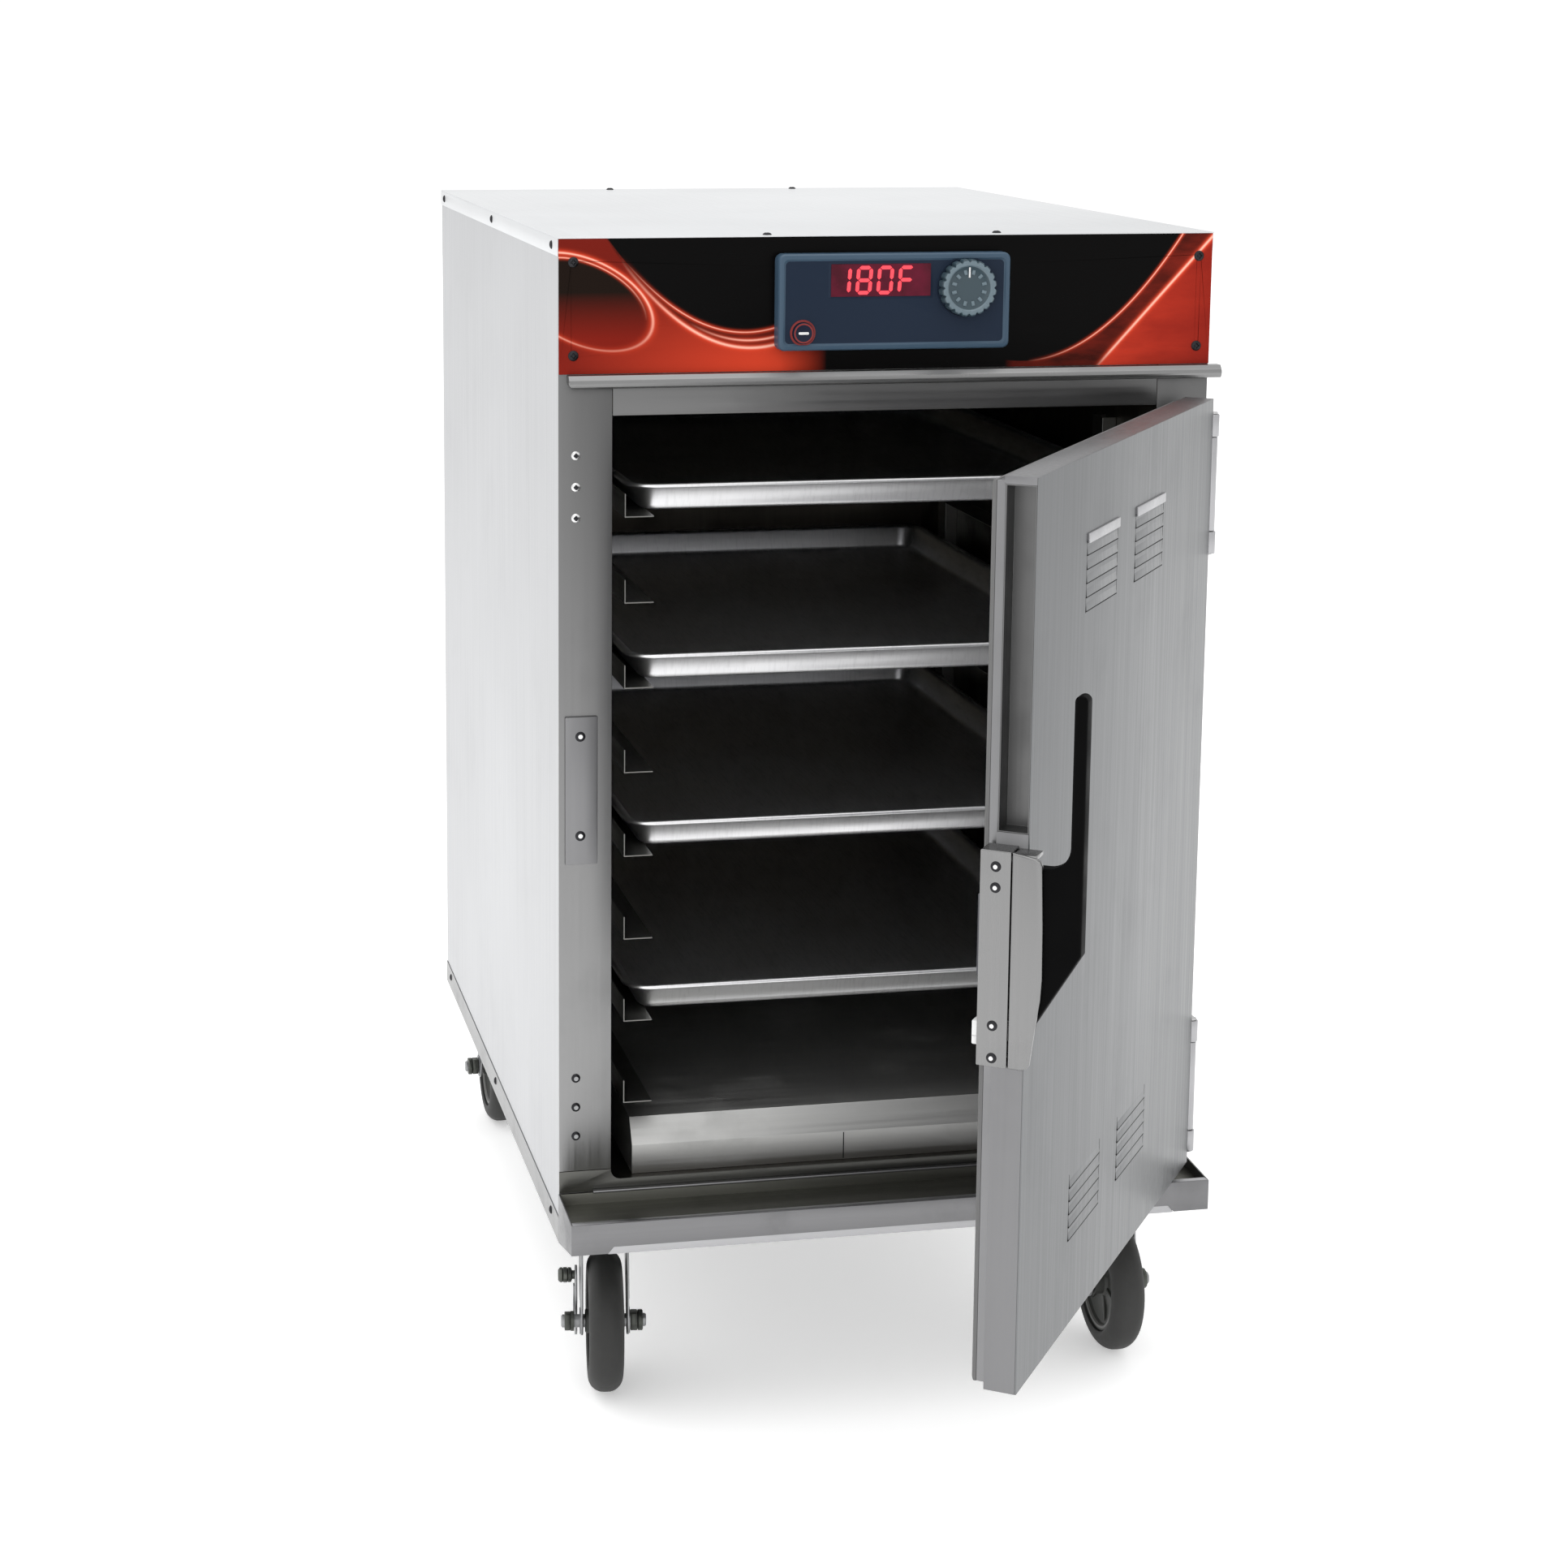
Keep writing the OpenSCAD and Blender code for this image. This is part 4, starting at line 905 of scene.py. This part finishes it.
def door_skin():
    """Outer skin of the door with its returns and four groups of louvres."""
    bm = bmesh.new()
    x0, x1, z0, z1 = door_low.x, door_high.x, door_low.z, door_high.z
    back, t = door_high.y, 1.2
    recess_low, recess_high = node_box("door_edge_channel", DOOR)
    box(bm, (x0, DOOR_FACE, z0), (x1, DOOR_FACE + t, z1), 0.5)
    box(bm, (x1 - t, DOOR_FACE + t, z0), (x1, back, z1), 0.3, 1)
    box(bm, (x0, DOOR_FACE + t, z0), (x0 + t, back, recess_low.z), 0.3, 1)
    box(bm, (x0, DOOR_FACE + t, recess_high.z), (x0 + t, back, z1), 0.3, 1)
    box(bm, (x0, recess_high.y, recess_low.z - 1), (x0 + t, back, recess_high.z + 1), 0.2, 1)
    box(bm, (x0 + t, DOOR_FACE + t, z1 - t), (x1 - t, back, z1), 0.3, 1)
    box(bm, (x0 + t, DOOR_FACE + t, z0), (x1 - t, back, z0 + t), 0.3, 1)
    for x in (-361, -218):
        for base in (792, 281):
            upper = base > 500
            for i in range(5):
                z = base + 11 * i + 0.6
                slat = [(DOOR_FACE + 0.2, z), (DOOR_FACE - 0.5, z), (DOOR_FACE - 0.5, z + 0.9),
                    (DOOR_FACE + 0.2, z + 9)]
                prism(bm, slat, "x", x - 43, x + 43, 0.1, 0)
                # Painted shadow: a thin dark strip along the slit under each slat.
                box(bm, (x - 44, DOOR_FACE - 0.55, z - 0.5), (x + 44, DOOR_FACE + 0.3, z + 0.4), 0, 2)
            # Painted shadow: thin dark lines down both ends of each group.
            for edge in (-44.5, 44):
                box(bm, (x + edge, DOOR_FACE - 0.08, base - 0.6),
                    (x + edge + 0.5, DOOR_FACE + 0.3, base + 56), 0, 2)
            if upper:
                # The hood takes the lighter lip steel: a painted highlight along the top of the group.
                hood = (x - 44, DOOR_FACE - 2.2, base + 54), (x + 44, DOOR_FACE + 0.3, base + 62)
                box(bm, *hood, 0.6, 3)
    finish_mesh("door_outer_skin", bm, [STEEL["door"], STEEL["door_edge"], SHADOW_GAP, STEEL["lip"]],
        "door_shell", body="door", space=DOOR)


def door_parts():
    dress("door_liner", STEEL["strike"], 0.6)
    dress("door_insulation", WOOL)
    # The edge channel takes a darker steel than the door: painted shade in the recess.
    dress("door_edge_channel", STEEL["channel"], 0.3)
    dress("hinge_leaves", STEEL["lip"], 0.6)
    dress("latch_body", STEEL["latch"], 0.8)
    dress("latch_magnet", IRON, 0.5)
    dress("latch_pin", CHROME, 0.3)


def door_gasket():
    """Hollow-bulb seal with a finned lip, mitred at the corners."""
    bm = bmesh.new()
    x0, x1 = gasket_low.x, gasket_high.x
    z0, z1 = gasket_low.z, gasket_high.z
    base, top = gasket_low.y, gasket_high.y
    rise = top - base
    section = [(0, 0), (0, rise * 0.55)]
    for t in (20, 55, 90, 125, 160):
        section.append((4.6 - 4.0 * cos(radians(t)), rise * 0.5 + rise * 0.5 * sin(radians(t))))
    section += [(9.2, rise * 0.3), (13.6, rise * 0.42), (14, rise * 0.1), (14, 0)]
    corners = (x0, z0, 1, 1), (x1, z0, -1, 1), (x1, z1, -1, -1), (x0, z1, 1, -1)
    skin(bm, [[(x + dx * a, base + b, z + dz * a) for a, b in section] for x, z, dx, dz in corners],
        closed=True)
    finish_mesh("door_seal", bm, [SEAL], "door_gasket", 40, body="door", space=DOOR)


LATCH = {name: node_box(name, DOOR) for name in ("latch_body", "latch_cover", "latch_handle")}


def latch_cover():
    """Plated cover: crowned front, tapered and rounded foot, open towards the lever."""
    bm = bmesh.new()
    low, high = LATCH["latch_cover"]
    z0, z1 = low.z, high.z
    right, left = low.y, high.y
    front, back = low.x, high.x
    outer = [(left, z0)] + arc(right + 15.6, z0 + 8, 8, 270, 205, 6) + [
        (right + 4.4, z0 + 36), (right + 1.0, z0 + 56), (right, z0 + 72), (right + 0.4, z0 + 110),
        (right + 2.0, z1 - 8), (right + 3.4, z1 - 4.6), (right + 7.0, z1 - 3.2), (left, z1)]
    part = bmesh.new()
    prism(part, outer, "x", front, front + 3.0, 0)
    sharp = [e for e in part.edges if abs(e.verts[0].co.x - front) < 1e-4
        and abs(e.verts[1].co.x - front) < 1e-4]
    bevel_edges(part, sharp, 1.6, 4)
    merge(bm, part)
    box(bm, (front + 2.6, right + 7, z1 - 5), (back, left, z1 - 1.5), 0.8)
    box(bm, (front + 2.6, left - 12, z0), (back, left, z0 + 6), 0.8)
    box(bm, (front + 2.6, left - 1.4, z0 + 5), (back, left, z0 + 8.5), 0.3)
    finish_mesh("latch_cover_shell", bm, [STEEL["latch"]], "latch_cover", 40, body="door",
        space=DOOR)


def latch_handle():
    """Moulded lever: tall finger grip, deep web, chamfered foot and a kick-off toe."""
    bm = bmesh.new()
    low, high = LATCH["latch_handle"]
    out, top = low.y, high.z
    inner = out + 10
    outline = ([(4, top - 132)] + arc(inner + 18, top - 114, 18, 270, 180, 10)
        + arc(inner - 5, top - 5, 5, 0, 180, 12) + [(out, 565), (-12.2, 506), (-9.5, 490), (4, 490)])
    part = bmesh.new()
    prism(part, outline, "x", low.x, high.x, 0)
    flat = [e for e in part.edges if abs(e.verts[0].co.x - e.verts[1].co.x) < 1e-4]
    bevel_edges(part, flat, 2.6, 5)
    merge(bm, part, 0)
    toe_y = high.y
    box(bm, (low.x + 2, -4, 492.5), (high.x - 2, toe_y, 505.5), 1.0, 1)
    box(bm, (low.x + 2, toe_y - 6, 487), (high.x - 2, toe_y, 495), 1.0, 1)
    finish_mesh("lever_grip", bm, [BLACK_NYLON, WHITE_MARK], "latch_handle", 40,
        body="handle", space=DOOR)


def door_fasteners():
    bm = bmesh.new()
    front = LATCH["latch_body"][0].x
    for z in (627, 611, 505, 480):
        screw(bm, (front, 17.5, z), "x", 4.0, 1.6, -1)
        # Painted highlight: a pale cup in the middle of the recess.
        glint(bm, (front, 17.5, z), "x", 1.7, -1.55, -1.0, 1)
    for base in (775, 217):
        for rise in (40, 85):
            screw(bm, (-3.5, 18, base + rise), "x", 4.0, 1.8, 1)
    finish_mesh("door_screw_heads", bm, [BLACK_SCREW, SCREW_HIGHLIGHT], "door_screws",
        body="door", space=DOOR)


# ---- casters
WHEEL_R = 63.5
TREAD = 32
TRAIL = 38
AXLE = (0, -TRAIL, WHEEL_R)
FORK_IN = 20
FORK_OUT = 23
CORNERS = ("fl", "fr", "rl", "rr")
PLATE_TOP = node_box("caster_plates")[1].z


def caster_plate(bm, corner):
    """Top plate with a pressed boss, kingpin and its nut."""
    space = CABINET.inverted() @ caster_frame(corner)
    origin = space.translation / MM
    part = bmesh.new()
    prism(part, rounded_rect(-52, 52, -52, 52, 8), "z", PLATE_TOP - 3.5, PLATE_TOP, 0.6)
    lathe(part, [(0, 138), (8.6, 138), (10, 139.4), (10, 142.4), (6, 142.5), (6, PLATE_TOP - 3.4)],
        (0, 0, 0), "z", 40)
    part.transform(Matrix.Translation((origin.x, origin.y, 0)))
    merge(bm, part)


def caster_plates():
    bm = bmesh.new()
    for corner in CORNERS:
        caster_plate(bm, corner)
    finish_mesh("caster_top_plates", bm, [ZINC], "caster_plates")
    bm = bmesh.new()
    for corner in CORNERS:
        pivot = (CABINET.inverted() @ caster_frame(corner)).translation / MM
        for dx in (-42, 42):
            for dy in (-42, 42):
                spot = (pivot.x + dx, pivot.y + dy, 0)
                lathe(bm, [(0, 150.2), (3.4, 150.2), (4, 150.9), (4, 165.4), (0, 166)], spot, "z", 24)
                nut(bm, spot, "z", 6.4, 151.4, 152.9, 0, 24)
                nut(bm, spot, "z", 6.4, 148.2, 151.4)
                nut(bm, spot, "z", 6.4, 159.1, 163.8)
    finish_mesh("caster_bolt_set", bm, [ZINC], "caster_bolts")


def fork(corner):
    """Pressed fork: ribbed legs, swivel race with balls behind a lip, axle bolt, spacer and lock nuts."""
    bm = bmesh.new()
    leg = ([(27, 147.6), (-33, 147.6), (-36, 141), (-45, 118)] + arc(-TRAIL, WHEEL_R, 13, 172, 350, 14)
        + [(-16, 84), (6, 112), (20, 136)])
    for side in (-1, 1):
        near, far = side * FORK_IN, side * FORK_OUT
        prism(bm, leg, "x", near, far - side * 0.9, 0.7)
        # Two pressed ribs run down each leg to the axle
        for shift in (-9, 3):
            rib = [(shift - 7, 143), (shift - 2, 143), (-TRAIL + 11 + shift * 0.45, 82),
                (-TRAIL + 7 + shift * 0.45, 82)]
            prism(bm, rib, "x", far - side * 1.2, far, 0.6)
        boss = [(6.2, near + side), (12, near + side), (12, far), (6.2, far)]
        lathe(bm, boss, AXLE, "x", 32, 0, True)
    prism(bm, rounded_rect(-23, 23, -33.6, 27.6, 5), "z", 144, 147.9, 0.8)
    lathe(bm, [(6.3, 147), (26.4, 147), (27, 148.2), (26.2, 149.6), (24.4, 150.4), (24.6, 151.4),
        (23, 152.3), (6.3, 152.3)], (0, 0, 0), "z", 56, 0, True)
    half = FORK_OUT
    lathe(bm, [(0, -half - 17), (4.8, -half - 17), (6, -half - 15.8), (6, half + 13.8), (5, half + 15),
        (0, half + 15)], AXLE, "x", 32, 0)
    nut(bm, AXLE, "x", 9.8, half + 0.4, half + 7.0, 1)
    nut(bm, AXLE, "x", 9.6, half + 7.2, half + 11.9, 1, 12)
    nut(bm, AXLE, "x", 8.8, -half - 13.9, -half - 8.4, 1)
    spacer = [(6, -half - 8.4), (9, -half - 8.4), (9, -half - 5.2), (6, -half - 5.2)]
    lathe(bm, spacer, AXLE, "x", 32, 1)
    finish_mesh(f"fork_{corner}_pressing", bm, [ZINC, DARK_ZINC], f"caster_fork_{corner}",
        32, body=f"fork_{corner}", space=caster_frame(corner))


def wheel(corner):
    """Dished core with spokes, ring groove and hub, and a crowned tyre with moulded shoulders."""
    bm = bmesh.new()
    bore, hub, core = 6.05, 11.0, 46.0
    face = [(bore, -18), (hub - 1, -18), (hub, -17), (hub + 0.6, -9), (hub + 3, -6.6), (24, -5.4),
        (34, -6.2), (39.5, -8.4), (41.4, -11.8), (42.6, -12.9), (44.6, -12.9), (core, -11.6)]
    lathe(bm, face + [(r, -x) for r, x in reversed(face)], AXLE, "x", 72, 0, True)
    for side in (-1, 1):
        lathe(bm, [(40.2, side * 11.0), (41.2, side * 12.9), (43.0, side * 12.95), (43.6, side * 12.4)],
            AXLE, "x", 72, 1)
        for k in range(6):
            part = bmesh.new()
            spoke = [(13.5, -2.2), (37, -1.5), (37, 1.5), (13.5, 2.2)]
            prism(part, spoke, "x", 5.4, 8.0, 0.5)
            part.transform(Matrix.Translation(AXLE) @ Matrix.Rotation(radians(60 * k + 15), 4, "X")
                @ Matrix.Diagonal((side, 1, 1, 1)))
            if side < 0:
                bmesh.ops.reverse_faces(part, faces=part.faces)
            merge(bm, part)
    finish_mesh(f"wheel_{corner}_core", bm, [CORE, CORE_RING], f"wheel_{corner}", 30,
        body=f"roller_{corner}", space=caster_frame(corner))
    bm = bmesh.new()
    half = TREAD / 2
    shoulder = 14
    tread = [(core, -half + 1.2), (core + 1.2, -half + 0.5), (core + 2.2, -half + 0.25)]
    tread += [(WHEEL_R - shoulder + shoulder * cos(radians(t)),
        -half + shoulder + shoulder * sin(radians(t))) for t in range(-88, -4, 7)]
    tread += [(WHEEL_R - 0.03, -1.2), (WHEEL_R - 0.02, 0)]
    one_side = [p for p in tread if p[1] < 0]
    profile = [p for p in tread if p[1] <= 0] + [(r, -x) for r, x in reversed(one_side)]
    lathe(bm, profile, AXLE, "x", 112, 0, True)
    finish_mesh(f"tyre_{corner}_rubber", bm, [TYRE], f"tyre_{corner}", 40,
        body=f"roller_{corner}", space=caster_frame(corner))


def brake_lever(corner):
    """Stamped lever on its pivot bolt, with a ribbed cap to press on."""
    bm = bmesh.new()
    low, high = node_box("brake_lever_" + corner, caster_frame(corner))
    plate = high.x - 2.4
    outline = arc(-16, 99, 9, 20, 200, 10) + [(-25.8, 76), (-22, 46), (-18, 41), (-12.2, 40.4), (-7.4, 60)]
    prism(bm, outline, "x", plate - 0.8, plate + 1.6, 0.6)
    prism(bm, [(-20, 90), (-13, 90), (-13, 58), (-18, 58)], "x", plate - 2.2, plate - 0.6, 0.6)
    cap = [(0, low.x), (4.8, low.x), (6.6, low.x + 1.4), (7, low.x + 3.5), (6.2, low.x + 4.2),
        (7, low.x + 5.0), (7, low.x + 8.0), (6.2, low.x + 8.8), (7, low.x + 9.6), (6.6, low.x + 12),
        (4, low.x + 13), (4, high.x - 1)]
    lathe(bm, cap, (0, -16, 99), "x", 36, 1)
    finish_mesh(f"brake_{corner}_lever", bm, [ZINC, DARK_ZINC], "brake_lever_" + corner,
        body=f"brake_{corner}", space=caster_frame(corner))


# ---- build
dress_shells()
top_cover()
front_shelf()
strike_plate()
front_frame()
cabinet_fasteners()
heater_cover()
controller_housing()
display_digits()
control_knob()
power_button()
cord_gland()
for number in (1, 2, 3, 4):
    sheet_pan(number)
door_skin()
door_parts()
door_gasket()
latch_cover()
latch_handle()
door_fasteners()
caster_plates()
for corner in CORNERS:
    fork(corner)
    wheel(corner)
for corner in ("fl", "fr"):
    brake_lever(corner)


# ---- stage, light and camera
def pale_floor():
    bm = bmesh.new()
    bmesh.ops.create_grid(bm, x_segments=2, y_segments=2, size=14)
    mesh = bpy.data.meshes.new("floor")
    bm.to_mesh(mesh)
    bm.free()
    tree = Tree("pale_floor")
    cloud = tree.noise(0.8, 3.0)
    tree.set(Base_Color=tree.mix(cloud, (0.93, 0.93, 0.93), (0.96, 0.96, 0.96)), Roughness=0.9,
        Emission_Color=(1, 1, 1, 1), Emission_Strength=0.35)
    mesh.materials.append(tree.material)
    floor = bpy.data.objects.new("floor", mesh)
    bpy.context.scene.collection.objects.link(floor)


def soft_light(name, place, target, size, energy):
    lamp = bpy.data.lights.new(name, "AREA")
    lamp.shape = "RECTANGLE"
    lamp.size, lamp.size_y = size
    lamp.energy = energy
    holder = bpy.data.objects.new(name, lamp)
    holder.location = place
    holder.rotation_euler = (Vector(target) - Vector(place)).to_track_quat("-Z", "Y").to_euler()
    bpy.context.scene.collection.objects.link(holder)


def lighting():
    world = bpy.data.worlds.new("studio")
    world.use_nodes = True
    background = world.node_tree.nodes["Background"]
    background.inputs["Color"].default_value = (1, 1, 1, 1)
    background.inputs["Strength"].default_value = 1.08
    bpy.context.scene.world = world
    middle = (0, 0.2, 0.6)
    soft_light("overhead", (-0.4, 0.0, 3.2), middle, (3.0, 3.0), 26)
    soft_light("left_softbox", (-3.2, 0.6, 1.4), middle, (2.4, 2.4), 8)
    soft_light("front_fill", (-1.4, -3.4, 1.8), middle, (1.6, 2.2), 8)
    bpy.context.scene.view_settings.view_transform = "Standard"


def photo_camera():
    """Close view from the front left, a little above the cabinet, looking slightly down."""
    camera = bpy.data.cameras.new("camera")
    camera.sensor_width = 36
    camera.lens = 69.75
    camera.shift_x, camera.shift_y = 0.08, -0.15
    holder = bpy.data.objects.new("camera", camera)
    yaw, pitch, roll = 0.1979, 0.1692, 0.0046
    forward = Vector((sin(yaw) * cos(pitch), cos(yaw) * cos(pitch), -sin(pitch)))
    holder.rotation_mode = "QUATERNION"
    holder.rotation_quaternion = (Matrix.Rotation(-roll, 4, forward)
        @ forward.to_track_quat("-Z", "Y").to_matrix().to_4x4()).to_quaternion()
    holder.location = at(-718.4, -2555.5, 1232.4)
    bpy.context.scene.collection.objects.link(holder)
    bpy.context.scene.camera = holder


pale_floor()
lighting()
photo_camera()
